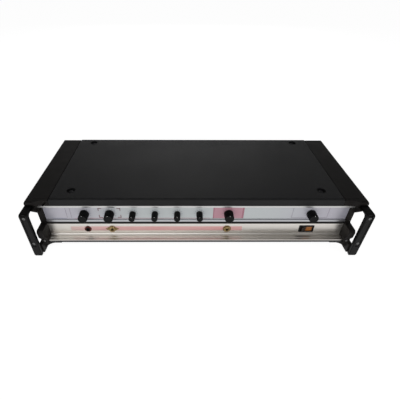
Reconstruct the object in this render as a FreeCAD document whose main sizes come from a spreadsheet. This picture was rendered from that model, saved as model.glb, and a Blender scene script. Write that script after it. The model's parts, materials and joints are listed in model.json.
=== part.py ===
# Guitar amplifier head: a low, wide steel case between two moulded end cheeks.
# X runs to the right, Y to the rear and Z up. The floor is Z = 0 and the origin is
# the middle of the floor under the whole object. All lengths are millimetres.
import FreeCAD, Part

import os
import re

import Sketcher

doc = FreeCAD.newDocument("AmpHead")

# ---------------------------------------------------------------- driving sizes
SIZES = {
    # whole object
    "width": 730,              # outside of one cheek to outside of the other
    "body_depth": 278,         # front of the panel to the rear edge of the cover
    "handle_reach": 40,        # how far the handles stand forward of the panel
    "cheek_height": 128,       # floor to the top of the cheeks
    "underside": 21,           # floor to the bottom of the case
    # cover
    "cover_proud": 1.5,        # cover above the cheeks
    "cover_sheet": 1.5,
    "cover_gap": 2.2,          # groove between cover and cheek
    "lip_gap": 0.5,            # the same, at the front fold
    "front_lip": 16,           # depth of the cover's front fold
    "rear_lip": 12,
    "cup_x": 276,              # recessed cover screws, from the middle
    "cup_y": 34,               # and behind the front
    "cup_rear": 19,            # or ahead of the rear
    "rear_screw_x": 240,       # screws through the cover's rear lip, from the middle
    "crease_in": 3,            # crease along the front edge of the top
    "crease_wide": 2.4,
    "crease_deep": 1,
    "cup_radius": 9.5,
    "cup_depth": 4,
    "cup_wall": 1.5,
    # cheeks
    "deck_width": 48,          # top of a cheek, side to side
    "deck_thick": 4,
    "cheek_thick": 31.5,       # outside of a cheek to the side of the case
    "handle_width": 17.5,
    "skin": 4,                 # outer wall of a cheek
    "hand_room": 34,           # hand hole, behind the front of the panel
    "nose_reach": 30,          # end block in front of the panel
    "nose_top": 66,
    "nose_low": 36,
    "nose_round": 5,
    "gusset_reach": 20,
    "rear_foot": 40,
    "foot_slope": 12,
    "nose_heel": 7,            # how far the end block steps back underneath
    "heel_tall": 5,            # top of the foot arm above the bottom of the case
    "brow": 7.5,               # rounded front of the deck, in front of the panel
    "brow_round": 5,
    "brow_wide": 16.5,
    "flare_inner": 306,        # where the flare meets the case, from the middle
    "flare_corner": 14,
    "flare_round": 38,
    # handles
    "strap_arm": 6,            # thickness of the strap's top arm
    "strap_bar": 9,            # thickness of the upright grip
    "strap_drop": 8,           # top of the strap under the top of the cheek
    "strap_tail": 30,          # strap under the deck
    "strap_bend": 6,
    "grip_wide": 8,
    "grip_thick": 1.8,
    "grip_sunk": 1.2,
    "grip_low": 30,
    "arm_proud": 5.5,          # foot arm outside the cheek's inner wall
    "grip_head": 3,
    "pad_thick": 2,
    # case
    "tray_sheet": 2,
    "ledge_reach": 18,         # metal ledge in front of the panel
    "ledge_thick": 2.5,
    "ledge_top": 29.5,
    "plate_set": 5.5,          # steel front plate behind the panel's front
    "plate_sheet": 2,
    "flange_deep": 44,
    "rear_recess": 12,         # rear panel inside the rear edge of the cover
    "vent_x": -60,             # left edge of the slots in the floor
    "vent_in": 120,            # and their front edge, ahead of the rear panel
    "vent_wide": 10,
    "vent_long": 20,
    "vent_pitch_x": 18,
    "vent_pitch_y": 28,
    # panels
    "trim_top": 113.5,
    "trim_lip": 4.7,
    "facia_low": 74.3,
    "mid_lip": 6.5,
    "lip_proud": 1,
    "web_sheet": 1.5,
    "facia_inset": 1.5,
    "facia_thick": 2,
    "backlight_thick": 0.5,
    "fit": 0.2,
    "trim_half": 343,
    "lower_top": 62.5,
    "lower_lip": 4.3,
    "lower_sheet": 2.5,
    "lower_inset": 0.5,
    # controls
    "knob_z": 91,
    "gain_a_x": -245.5,
    "gain_b_x": -190.5,
    "tone_x": -140,
    "tone_pitch": 48.8,
    "level_x": 70.5,
    "master_x": 252.5,
    "large_radius": 10.4,
    "small_radius": 7.1,
    "knob_length": 20,
    "knob_gap": 0.8,
    "knob_recess": 3.6,
    "knob_wall": 1,
    "shaft_radius": 3,
    "shaft_fit": 0.03,
    "bush_radius": 3.5,
    "bush_out": 2.7,
    "pot_radius": 8.5,
    "pot_deep": 9,
    "nut_flats": 10,
    "nut_thick": 2.2,
    # front sockets and power switch
    "socket_z": 46,
    "jack_radius": 4.7,
    "plug_radius": 3.2,
    "jack_out": 3.5,
    "jack_nut": 15,
    "jack_washer": 9.4,
    "collar_radius": 7.6,
    "lozenge_wide": 31,
    "lozenge_tall": 19,
    "washer_thick": 0.8,
    "jack_body": 16,
    "jack_deep": 25,
    "switch_wide": 34,
    "switch_tall": 18.6,
    "window_wide": 28,
    "window_tall": 13,
    "rocker_wide": 25.2,
    "rocker_tall": 12.2,
    "rocker_throw": 18,
    "pin_radius": 1.2,
    # inside
    "board_thick": 1.6,
    "screw_radius": 2,
    "head_radius": 4,
    "head_thick": 2.4,
    "core_wide": 92,
    "core_deep": 56,
    "core_tall": 78,
    "leg": 16,
    "can_radius": 17.5,
    "can_tall": 72,
    "supply_x": 190,
    "supply_y": 30,
    "cans_x": 80,
    "power_x": -170,
    "power_y": 50,
    "post_tall": 12,
    "sink_x": -140,
    "sink_wide": 210,
    "sink_low": 34,
    "sink_high": 110,
    "sink_plate": 3,
    "sink_bolt": 10,           # from the sink's top and bottom edges
    "transistor_z": 72,
    "cheek_bolt_in": 60,       # from the front and rear of a cheek
    "cheek_bolt_low": 60,
    "cheek_bolt_high": 108,
    "rear_z": 62,              # height of the rear sockets
    "inlet_wide": 28,
    "inlet_tall": 21,
    "inlet_deep": 14,
    "fuse_radius": 6.5,
    "fin_count": 14,
    "fin_thick": 2,
}

sheet = doc.addObject("Spreadsheet::Sheet", "Sizes")
for row, (name, size) in enumerate(SIZES.items(), start=1):
    sheet.set(f"A{row}", name)
    sheet.set(f"B{row}", str(size))
    sheet.setAlias(f"B{row}", name)
doc.recompute()

# Places worked out from the driving sizes.
PLACES = {
    "half": "width / 2",
    "front": "(handle_reach - body_depth) / 2",
    "rear": "(handle_reach + body_depth) / 2",
    "case_half": "half - cheek_thick",
    "wall_out": "half - handle_width",
    "deck_in": "half - deck_width",
    "cover_half": "deck_in - cover_gap",
    "cover_top": "cheek_height + cover_proud",
    "deck_low": "cheek_height - deck_thick",
    "strip_low": "cover_top - front_lip",
    "tray_top": "underside + tray_sheet",
    "plate_half": "case_half - tray_sheet",
    "plate_front": "front + plate_set",
    "plate_back": "plate_front + plate_sheet",
    "flange_top": "deck_low",
    "rear_back": "rear - rear_recess",
    "rear_front": "rear_back - plate_sheet",
    "facia_front": "front + facia_inset",
    "facia_high": "trim_top - trim_lip",
    "strap_top": "cheek_height - strap_drop",
    "strap_low": "strap_top - strap_arm",
    "bar_front": "front - handle_reach",
    "bar_back": "bar_front + strap_bar",
    "switch_x": "master_x",
    "face_front": "front + lower_inset",
    "pivot_y": "front + 5.5",
    "knob_back": "facia_front - knob_gap",
    "knob_front": "knob_back - knob_length",
}
places = doc.addObject("App::VarSet", "Places")


def link(text):
    """Put the owning object in front of every name in an expression."""
    def owner(found):
        name = found.group(0)
        if name in SIZES:
            return "Sizes." + name
        if name in PLACES:
            return "Places." + name
        return name
    return re.sub(r"[a-z_][a-z_0-9]*", owner, str(text))


for name, formula in PLACES.items():
    places.addProperty("App::PropertyFloat", name)
    places.setExpression(name, link(formula))
doc.recompute()


def value(text):
    """The number that an expression gives with the sizes as they are now."""
    result = places.evalExpression(link(text))
    return float(getattr(result, "Value", result))


# ---------------------------------------------------------------- building helpers
AXES = {"x": "YZ_Plane", "y": "XZ_Plane", "z": "XY_Plane"}
done = []


def body(label):
    """An empty PartDesign body."""
    new = doc.addObject("PartDesign::Body", "Body")
    new.Label = label
    return new


def sketch(owner, axis, at, loops, circles):
    """A sketch square to an axis: straight loops and circles, each point tied to an expression."""
    new = owner.newObject("Sketcher::SketchObject", "Sketch")
    plane = [item for item in owner.Origin.OriginFeatures if item.Role == AXES[axis]][0]
    new.AttachmentSupport = (plane, "")
    new.MapMode = "FlatFace"
    sign = "-" if axis == "y" else ""
    new.setExpression("AttachmentOffset.Base.z", link(f"{sign}({at})"))
    for loop in loops:
        first = new.GeometryCount
        count = len(loop)
        spots = [FreeCAD.Vector(value(u), value(v), 0) for u, v in loop]
        for i in range(count):
            new.addGeometry(Part.LineSegment(spots[i], spots[(i + 1) % count]), False)
        for i in range(count):
            here = first + i
            following = first + (i + 1) % count
            new.addConstraint(Sketcher.Constraint("Coincident", here, 2, following, 1))
        for i, (u, v) in enumerate(loop):
            tie(new, first + i, 1, u, v, spots[i])
    for u, v, radius in circles:
        spot = FreeCAD.Vector(value(u), value(v), 0)
        circle = Part.Circle(spot, FreeCAD.Vector(0, 0, 1), value(radius))
        here = new.addGeometry(circle, False)
        tie(new, here, 3, u, v, spot)
        k = new.addConstraint(Sketcher.Constraint("Radius", here, value(radius)))
        new.setExpression(f"Constraints[{k}]", link(radius))
    return new


def tie(new, line, point, u, v, spot):
    """Fix one sketch point at a distance from the origin along each direction."""
    for kind, text, size in (("DistanceX", u, spot.x), ("DistanceY", v, spot.y)):
        k = new.addConstraint(Sketcher.Constraint(kind, -1, 1, line, point, size))
        new.setExpression(f"Constraints[{k}]", link(text))


def add(owner, axis, low, high, loops=(), circles=()):
    """Grow a sketch from low to high along an axis, joined to the body."""
    start = high if axis == "y" else low
    pad = owner.newObject("PartDesign::Pad", "Pad")
    pad.Profile = sketch(owner, axis, start, loops, circles)
    pad.setExpression("Length", link(f"({high}) - ({low})"))
    doc.recompute()
    return pad


def remove(owner, axis, low, high, loops=(), circles=()):
    """Cut a sketch out of the body from low to high along an axis."""
    before = owner.Shape.Volume
    start = low if axis == "y" else high
    pocket = owner.newObject("PartDesign::Pocket", "Pocket")
    pocket.Profile = sketch(owner, axis, start, loops, circles)
    pocket.setExpression("Length", link(f"({high}) - ({low})"))
    doc.recompute()
    if not owner.Shape.Volume < before - 0.01:
        raise RuntimeError(f"a cut in {owner.Label} removed nothing")
    return pocket


def soften(owner, radius, along, spots):
    """Round the edges that run along an axis through the given pairs of places."""
    tip = owner.Tip
    names = []
    index = {"x": 0, "y": 1, "z": 2}[along]
    others = [i for i in range(3) if i != index]
    wanted = [(value(u), value(v)) for u, v in spots]
    for number, edge in enumerate(tip.Shape.Edges, start=1):
        ends = [vertex.Point for vertex in edge.Vertexes]
        if len(ends) != 2 or abs(ends[0][index] - ends[1][index]) < 0.5 * edge.Length:
            continue
        middle = edge.CenterOfMass
        for u, v in wanted:
            if abs(middle[others[0]] - u) < 0.02 and abs(middle[others[1]] - v) < 0.02:
                names.append(f"Edge{number}")
    if not names:
        raise RuntimeError(f"no edge to round in {owner.Label}")
    fillet = owner.newObject("PartDesign::Fillet", "Fillet")
    fillet.Base = (tip, names)
    fillet.setExpression("Radius", link(radius))
    doc.recompute()
    return fillet


def rectangle(u0, u1, v0, v1):
    """Four corners of a loop square to the axes."""
    return [(u0, v0), (u1, v0), (u1, v1), (u0, v1)]


def block(label, x0, x1, y0, y1, z0, z1):
    """A plain box between six places."""
    new = doc.addObject("Part::Box", "Box")
    new.Label = label
    for side, low, high in (("Length", x0, x1), ("Width", y0, y1), ("Height", z0, z1)):
        new.setExpression(side, link(f"({high}) - ({low})"))
    for letter, low in (("x", x0), ("y", y0), ("z", z0)):
        new.setExpression(f"Placement.Base.{letter}", link(low))
    return new


TURNS = {
    "x": FreeCAD.Rotation(FreeCAD.Vector(0, 1, 0), 90),
    "y": FreeCAD.Rotation(FreeCAD.Vector(1, 0, 0), -90),
    "z": FreeCAD.Rotation(),
}


def stand(new, axis, low, centre):
    """Point a primitive along an axis with its foot at low and its middle line at centre."""
    new.Placement = FreeCAD.Placement(FreeCAD.Vector(), TURNS[axis])
    letters = [letter for letter in "xyz" if letter != axis]
    new.setExpression(f"Placement.Base.{axis}", link(low))
    for letter, text in zip(letters, centre):
        new.setExpression(f"Placement.Base.{letter}", link(text))
    return new


def rod(label, axis, low, high, centre, radius):
    """A cylinder from low to high along an axis."""
    new = doc.addObject("Part::Cylinder", "Rod")
    new.Label = label
    new.setExpression("Radius", link(radius))
    new.setExpression("Height", link(f"({high}) - ({low})"))
    return stand(new, axis, low, centre)


def hexagon(label, axis, low, high, centre, flats):
    """A six-sided prism, sized across its flats."""
    new = doc.addObject("Part::Prism", "Hexagon")
    new.Label = label
    new.Polygon = 6
    new.setExpression("Circumradius", link(f"({flats}) / 2 / cos(30)"))
    new.setExpression("Height", link(f"({high}) - ({low})"))
    return stand(new, axis, low, centre)


def cut(label, base, *tools):
    """Base less each tool."""
    for tool in tools:
        new = doc.addObject("Part::Cut", "Cut")
        new.Base = base
        new.Tool = tool
        base = new
    base.Label = label
    return base


def join(label, *pieces):
    """Pieces fused into one solid."""
    new = doc.addObject("Part::MultiFuse", "Join")
    new.Label = label
    new.Shapes = list(pieces)
    return new


def group(label, pieces):
    """Separate solids that share one node."""
    new = doc.addObject("Part::Compound", "Group")
    new.Label = label
    new.Links = list(pieces)
    return new


def keep(new):
    """Mark an object as a finished sub-part."""
    done.append(new)
    return new


def sides(sign, low, high):
    """The two X places of a piece on the right, or their mirror on the left."""
    if sign > 0:
        return low, high
    return f"-({high})", f"-({low})"


KNOBS = {
    "gain_knob_a": ("gain_a_x", "large_radius"),
    "gain_knob_b": ("gain_b_x", "large_radius"),
    "tone_knob_1": ("tone_x", "small_radius"),
    "tone_knob_2": ("tone_x + tone_pitch", "small_radius"),
    "tone_knob_3": ("tone_x + 2 * tone_pitch", "small_radius"),
    "tone_knob_4": ("tone_x + 3 * tone_pitch", "small_radius"),
    "level_knob": ("level_x", "large_radius"),
    "master_knob": ("master_x", "large_radius"),
}
JACKS = {"input_jack_a": "gain_a_x", "input_jack_b": "gain_b_x", "line_jack": "level_x"}
GRIP_SCREWS = ["grip_low + 8", "strap_top - strap_bend - 4"]
FRONT_CUPS = [("-cup_x", "front + cup_y"), ("cup_x", "front + cup_y")]
BACK_CUPS = [("-cup_x", "rear - cup_rear"), ("cup_x", "rear - cup_rear")]
CUPS = FRONT_CUPS + BACK_CUPS
REAR_SCREWS = ["-rear_screw_x", "0", "rear_screw_x"]
CHEEK_BOLTS = [(y, z) for z in ("cheek_bolt_low", "cheek_bolt_high")
               for y in ("front + cheek_bolt_in", "rear - cheek_bolt_in")]

# ---------------------------------------------------------------- cover
cover = keep(body("top_cover"))
add(cover, "x", "-cover_half", "cover_half", [[
    ("front", "strip_low"), ("front", "cover_top"), ("front + crease_in", "cover_top"),
    ("front + crease_in + crease_wide / 2", "cover_top - crease_deep"),
    ("front + crease_in + crease_wide", "cover_top"), ("rear", "cover_top"), ("rear", "cover_top - rear_lip"),
    ("rear - cover_sheet", "cover_top - rear_lip"), ("rear - cover_sheet", "cover_top - cover_sheet"),
    ("front + cover_sheet", "cover_top - cover_sheet"), ("front + cover_sheet", "strip_low")]])
add(cover, "y", "front", "front + cover_sheet", [
    rectangle("-deck_in + lip_gap", "deck_in - lip_gap", "strip_low", "cover_top - 3")])
cup_wells = [(x, y, "cup_radius + cup_wall") for x, y in CUPS]
add(cover, "z", "cover_top - cover_sheet - cup_depth", "cover_top - cover_sheet", circles=cup_wells)
remove(cover, "z", "cover_top - cup_depth", "cover_top", circles=[(x, y, "cup_radius") for x, y in CUPS])
remove(cover, "z", "cover_top - cover_sheet - cup_depth", "cover_top - cup_depth",
       circles=[(x, y, "screw_radius + fit") for x, y in CUPS])
remove(cover, "y", "rear - cover_sheet", "rear",
       circles=[(x, "cover_top - rear_lip / 2", "screw_radius + fit") for x in REAR_SCREWS])
soften(cover, "cover_sheet", "x", [("front", "cover_top"), ("rear", "cover_top")])


def pan_screw(label, axis, seat, centre, length, way):
    """A pan-head screw: way is 1 when the head points up the axis, -1 when it points down."""
    if way > 0:
        shank = rod("shank", axis, f"{seat} - ({length})", seat, centre, "screw_radius")
        head = rod("head", axis, seat, f"{seat} + head_thick", centre, "head_radius")
    else:
        shank = rod("shank", axis, seat, f"{seat} + {length}", centre, "screw_radius")
        head = rod("head", axis, f"{seat} - head_thick", seat, centre, "head_radius")
    return join(label, shank, head)


keep(group("cover_screws", [
    pan_screw("cover_screw", "z", "cover_top - cup_depth", (x, y), "12", 1) for x, y in CUPS] + [
    join("rear_screw",
         rod("shank", "y", "rear - 9", "rear - cover_sheet", (x, "cover_top - rear_lip / 2"), "screw_radius"),
         rod("head", "y", "rear - cover_sheet", "rear", (x, "cover_top - rear_lip / 2"),
             "screw_radius + fit"))
    for x in REAR_SCREWS]))

# ---------------------------------------------------------------- cheeks and handles
WALL = [
    ("front - nose_reach + nose_heel", "underside"), ("front - nose_reach + nose_heel", "nose_low"),
    ("front - nose_reach + 1", "nose_low + 10"), ("front - nose_reach", "nose_top - 5"),
    ("front - nose_reach + 4", "nose_top"), ("front", "nose_top"), ("front", "deck_low"),
    ("rear", "deck_low"), ("rear", "pad_thick"), ("rear - rear_foot", "pad_thick"),
    ("rear - rear_foot - foot_slope", "underside"),
]
GUSSET = [
    ("front", "strap_low - gusset_reach"), ("front", "strap_low + 3"),
    ("front - gusset_reach", "strap_low + 3"), ("front - gusset_reach", "strap_low"),
]
BROW = [
    ("front", "strap_top"), ("front - brow", "strap_top"), ("front - brow", "cheek_height - brow_round"),
    ("front - brow + 1.5", "cheek_height - 1.5"), ("front - brow + brow_round", "cheek_height"),
    ("front", "cheek_height"),
]
CREASE = [
    ("front + crease_in", "cheek_height"),
    ("front + crease_in + crease_wide / 2", "cheek_height - crease_deep"),
    ("front + crease_in + crease_wide", "cheek_height"),
]
SKIN = [
    ("front + hand_room", "underside - 6"), ("front + hand_room", "deck_low"), ("rear", "deck_low"),
    ("rear", "pad_thick"), ("rear - rear_foot", "pad_thick"),
    ("rear - rear_foot - foot_slope + 2", "underside - 6"),
]
STRAP = [
    ("front + strap_tail", "strap_low"), ("front + strap_tail", "strap_top"), ("bar_front", "strap_top"),
    ("bar_front", "pad_thick"), ("bar_back", "pad_thick"), ("bar_back", "strap_low"),
]


def cheek(side, sign):
    """One moulded end cheek: inner wall with its nose, deck, outer skin and front foot."""
    new = keep(body(f"{side}_cheek"))
    low, high = sides(sign, "case_half", "wall_out")
    add(new, "x", low, high, [WALL])
    soften(new, "nose_round", "x", [
        ("front - nose_reach", "nose_top - 5"), ("front - nose_reach + 1", "nose_low + 10")])
    low, high = sides(sign, "trim_half + fit", "wall_out")
    add(new, "x", low, high, [GUSSET])
    low, high = sides(sign, "deck_in", "half")
    add(new, "z", "deck_low", "cheek_height", [rectangle(low, high, "front", "rear")])
    low, high = sides(sign, "wall_out", "half")
    add(new, "z", "strap_top", "deck_low", [rectangle(low, high, "front", "front + hand_room")])
    add(new, "x", low, high, [BROW])
    minus = "" if sign > 0 else "-"
    sweep = [("wall_out - brow_wide", "front"), ("wall_out - brow_wide / 2", "front - brow / 3"),
             ("wall_out", "front - brow"), ("wall_out", "front")]
    add(new, "z", "trim_top + 0.5", "cheek_height", [[(f"{minus}({u})", v) for u, v in sweep]])
    low, high = sides(sign, "deck_in", "wall_out")
    remove(new, "x", low, high, [CREASE])
    low, high = sides(sign, "half - skin", "half")
    add(new, "x", low, high, [SKIN])
    low, high = sides(sign, "wall_out", "half - skin")
    add(new, "y", "front + hand_room", "front + hand_room + skin", [
        rectangle(low, high, "underside - 6", "deck_low")])
    add(new, "y", "rear - skin", "rear", [rectangle(low, high, "pad_thick", "deck_low")])
    add(new, "y", "rear - rear_foot", "rear - rear_foot + skin", [
        rectangle(low, high, "pad_thick", "underside")])
    low, high = sides(sign, "deck_in", "case_half")
    add(new, "y", "front", "front + 3", [rectangle(low, high, "strip_low", "deck_low")])
    # The flare: a web that sweeps from the foot up to the bottom of the case.
    corner = ("wall_out - flare_corner", "underside - 1")
    outline = [("wall_out", "pad_thick"), ("wall_out", "underside"), ("flare_inner", "underside"),
               ("flare_inner", "underside - 1"), corner, ("wall_out - 0.5", "pad_thick")]
    add(new, "y", "front - ledge_reach", "front - 8", [[(f"{minus}({u})", v) for u, v in outline]])
    soften(new, "flare_round", "y", [(minus + "(wall_out - flare_corner)", "underside - 1")])
    low, high = sides(sign, "wall_out - 3", "wall_out + arm_proud")
    add(new, "y", "bar_back", "front - 8", [rectangle(low, high, "pad_thick", "underside + heel_tall")])
    edge = "half" if sign > 0 else "-half"
    soften(new, "3", "y", [(edge, "cheek_height")])
    for y, z in CHEEK_BOLTS:
        low, high = sides(sign, "case_half", "wall_out")
        remove(new, "x", low, high, circles=[(y, z, "screw_radius + fit")])
    heel = "front - nose_reach + nose_heel"
    remove(new, "y", heel, f"{heel} + 6", circles=[
        (f"{minus}(wall_out - 6.5)", "nose_low - 5", "screw_radius")])
    return new


def flush_screw(seat, end, centre, radius):
    """A low-headed screw that faces the front: its head stands grip_sunk in front of the seat."""
    shank = rod("shank", "y", seat, end, centre, radius)
    head = rod("head", "y", f"{seat} - grip_sunk", seat, centre, "grip_head")
    return join("flush_screw", shank, head)


def handle(side, sign):
    """One bent strap handle, with a channel down its grip and the strip that lies in it."""
    middle = "(wall_out + handle_width / 2)" if sign > 0 else "-(wall_out + handle_width / 2)"
    floor = "bar_front + grip_sunk + grip_thick"
    holes = [(middle, height, "screw_radius") for height in GRIP_SCREWS]
    strap = keep(body(f"{side}_handle"))
    low, high = sides(sign, "wall_out", "half")
    add(strap, "x", low, high, [STRAP])
    soften(strap, "strap_bend", "x", [("bar_front", "strap_top"), ("bar_back", "strap_low")])
    channel = rectangle(f"{middle} - grip_wide / 2", f"{middle} + grip_wide / 2", "grip_low", "strap_top")
    remove(strap, "y", "bar_front", floor, [channel])
    remove(strap, "y", floor, "bar_back - 1", circles=holes)
    strip = body(f"{side}_grip_strip")
    grip_strips.append(strip)
    outline = rectangle(f"{middle} - grip_wide / 2 + fit", f"{middle} + grip_wide / 2 - fit",
                        "grip_low + fit", "strap_top - strap_bend")
    add(strip, "y", "bar_front + grip_sunk", floor, [outline], holes)
    for x, z, radius in holes:
        grip_screws.append(flush_screw("bar_front + grip_sunk", "bar_back - 1", (x, z), radius))
    minus = "" if sign > 0 else "-"
    heel = "front - nose_reach + nose_heel"
    spot = (f"{minus}(wall_out - 6.5)", "nose_low - 5")
    grip_screws.append(flush_screw(heel, f"{heel} + 6", spot, "screw_radius"))


grip_screws = []
grip_strips = []
chassis_screws = []
for side, sign in (("left", -1), ("right", 1)):
    cheek(side, sign)
    handle(side, sign)
    for spot in CHEEK_BOLTS:
        chassis_screws.append(join(
            "cheek_bolt",
            rod("shank", "x", *sides(sign, "plate_half - 4", "wall_out"), spot, "screw_radius"),
            rod("head", "x", *sides(sign, "wall_out", "wall_out + head_thick"), spot, "head_radius")))
keep(group("grip_screws", grip_screws))
keep(group("grip_strips", grip_strips))

pads = []
for sign in (-1, 1):
    low, high = sides(sign, "wall_out + 1", "half - 1.5")
    pads.append(block("pad", low, high, "bar_front + 1", "bar_back - 1", "0", "pad_thick"))
    low, high = sides(sign, "case_half + 2", "half - 2")
    pads.append(block("pad", low, high, "rear - rear_foot + 4", "rear - 2", "0", "pad_thick"))
keep(group("rubber_feet", pads))

# ---------------------------------------------------------------- steel case
tray = keep(body("chassis_tray"))
add(tray, "z", "underside", "tray_top", [
    rectangle("-case_half", "case_half", "front - ledge_reach + 0.5", "rear_back")])
add(tray, "y", "front - ledge_reach + 0.5", "front - ledge_reach + 0.5 + tray_sheet", [
    rectangle("-case_half", "case_half", "tray_top", "ledge_top - ledge_thick")])
for sign in (-1, 1):
    low, high = sides(sign, "plate_half", "case_half")
    add(tray, "x", low, high, [rectangle("plate_front", "rear_back", "tray_top", "flange_top")])
    remove(tray, "x", low, high, circles=[(y, z, "screw_radius") for y, z in CHEEK_BOLTS])

vents = []
for row in range(3):
    for column in range(12):
        x = f"vent_x + {column} * vent_pitch_x"
        y = f"rear_front - vent_in + {row} * vent_pitch_y"
        vents.append(rectangle(x, f"{x} + vent_wide", y, f"{y} + vent_long"))
remove(tray, "z", "underside", "tray_top", vents)

POT_HOLES = [(x, "knob_z", "bush_radius + fit / 4") for x, _ in KNOBS.values()]
JACK_HOLES = [(x, "socket_z", "jack_radius + fit / 4") for x in JACKS.values()]
SWITCH_HOLE = rectangle("switch_x - switch_wide / 2 + 2", "switch_x + switch_wide / 2 - 2",
                        "socket_z - switch_tall / 2 + 2", "socket_z + switch_tall / 2 - 2")
plate = keep(body("front_plate"))
add(plate, "y", "plate_front", "plate_back", [
    rectangle("-plate_half", "plate_half", "tray_top", "flange_top"), SWITCH_HOLE], POT_HOLES + JACK_HOLES)
add(plate, "z", "flange_top - plate_sheet", "flange_top", [
    rectangle("-plate_half", "plate_half", "plate_back", "plate_back + flange_deep")])
remove(plate, "z", "flange_top - plate_sheet", "flange_top",
       circles=[(x, y, "screw_radius") for x, y in FRONT_CUPS])

# ---------------------------------------------------------------- front panels
trim = keep(body("panel_trim"))
add(trim, "x", "-case_half", "case_half", [[
    ("plate_front - web_sheet", "lower_top + 4"), ("plate_front - web_sheet", "facia_low - mid_lip"),
    ("front - lip_proud", "facia_low - mid_lip"), ("front - lip_proud", "facia_low"),
    ("plate_front - web_sheet", "facia_low"), ("plate_front - web_sheet", "facia_high"),
    ("front - lip_proud", "facia_high"), ("front - lip_proud", "trim_top"),
    ("plate_front", "trim_top"), ("plate_front", "lower_top + 4")]])
for sign in (-1, 1):
    low, high = sides(sign, "case_half", "trim_half")
    add(trim, "x", low, high, [rectangle("front - lip_proud", "front", "facia_high", "trim_top")])
remove(trim, "y", "plate_front - web_sheet", "plate_front", circles=POT_HOLES)

facia = keep(body("facia_panel"))
add(facia, "y", "facia_front", "facia_front + facia_thick", [
    rectangle("-case_half + fit", "case_half - fit", "facia_low + fit", "facia_high - fit")], POT_HOLES)
light = keep(body("facia_backlight"))
add(light, "y", "facia_front + facia_thick", "facia_front + facia_thick + backlight_thick", [
    rectangle("-case_half + fit", "case_half - fit", "facia_low + fit", "facia_high - fit")], POT_HOLES)

lower = keep(body("lower_panel"))
add(lower, "x", "-case_half", "case_half", [[
    ("front - lip_proud", "lower_top - lower_lip"), ("front - lip_proud", "lower_top"),
    ("plate_front", "lower_top"), ("plate_front", "lower_top - lower_lip"),
    ("face_front + lower_sheet", "lower_top - lower_lip"),
    ("face_front + lower_sheet", "ledge_top - ledge_thick"),
    ("front - ledge_reach", "ledge_top - ledge_thick"), ("front - ledge_reach", "ledge_top - 0.5"),
    # a groove along the middle of the ledge and another at the foot of the face
    ("front - 13.5", "ledge_top - 0.3"), ("front - 13", "ledge_top - 1.5"),
    ("front - 11.5", "ledge_top - 1.5"), ("front - 11", "ledge_top - 0.2"), ("front - 4", "ledge_top"),
    ("front - 3.5", "ledge_top - 1.4"), ("front - 2", "ledge_top - 1.4"),
    ("front - 1.5", "ledge_top + 0.6"), ("face_front", "ledge_top + 2.5"),
    ("face_front", "lower_top - lower_lip")]])
remove(lower, "y", "face_front", "face_front + lower_sheet", [SWITCH_HOLE], JACK_HOLES)

# ---------------------------------------------------------------- knobs and potentiometers
pots = []
pot_nuts = []
for name, (x, radius) in KNOBS.items():
    spot = (x, "knob_z")
    shell = rod("shell", "y", "knob_front", "knob_back", spot, radius)
    recess = rod("recess", "y", "knob_back - knob_recess", "knob_back", spot, f"{radius} - knob_wall")
    socket = rod("socket", "y", "knob_front + 3", "knob_back", spot, "shaft_radius + shaft_fit")
    keep(cut(name, shell, recess, socket))
    shaft = keep(rod(name.replace("knob", "shaft"), "y", "knob_front + 3", "plate_back + pot_deep - 2", spot,
                     "shaft_radius"))
    can = rod("can", "y", "plate_back", "plate_back + pot_deep", spot, "pot_radius")
    bush = rod("bush", "y", "facia_front - bush_out", "plate_back", spot, "bush_radius")
    bore = rod("bore", "y", "facia_front - bush_out", "plate_back + pot_deep - 1.8", spot,
               "shaft_radius + shaft_fit")
    pots.append(cut("pot", join("shell", can, bush), bore))
    nut = hexagon("hexagon", "y", "facia_front - nut_thick", "facia_front", spot, "nut_flats")
    hole = rod("hole", "y", "facia_front - nut_thick", "facia_front", spot, "bush_radius")
    pot_nuts.append(cut("nut", nut, hole))
keep(group("potentiometers", pots))
keep(group("pot_nuts", pot_nuts))

# ---------------------------------------------------------------- front sockets
jack_nuts = []
for name, x in JACKS.items():
    spot = (x, "socket_z")
    case = block("case", f"{x} - jack_body / 2", f"{x} + jack_body / 2",
                 "plate_back", "plate_back + jack_deep",
                 "socket_z - jack_body / 2", "socket_z + jack_body / 2")
    bush = rod("bush", "y", "face_front - jack_out", "plate_back", spot, "jack_radius")
    bore = rod("bore", "y", "face_front - jack_out", "plate_back + jack_deep - 2", spot, "plug_radius")
    keep(cut(name, join("shell", case, bush), bore))
    seat = "face_front - washer_thick"
    hole = rod("hole", "y", f"{seat} - 2", "face_front", spot, "jack_radius")
    if name == "input_jack_a":
        collar = rod("collar", "y", f"{seat} - 1", "face_front", spot, "collar_radius")
        jack_nuts.append(cut("nut", collar, hole))
        continue
    nut = hexagon("hexagon", "y", f"{seat} - 2", seat, spot, "jack_nut")
    if name == "input_jack_b":
        washer = body("lozenge")
        add(washer, "y", seat, "face_front", [[
            (f"{x} - lozenge_wide / 2", "socket_z"), (x, "socket_z - lozenge_tall / 2"),
            (f"{x} + lozenge_wide / 2", "socket_z"), (x, "socket_z + lozenge_tall / 2")]])
    else:
        washer = rod("washer", "y", seat, "face_front", spot, "jack_washer")
    jack_nuts.append(cut("nut", join("pair", nut, washer), hole))
keep(jack_nuts.pop(0)).Label = "black_jack_nut"

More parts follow.
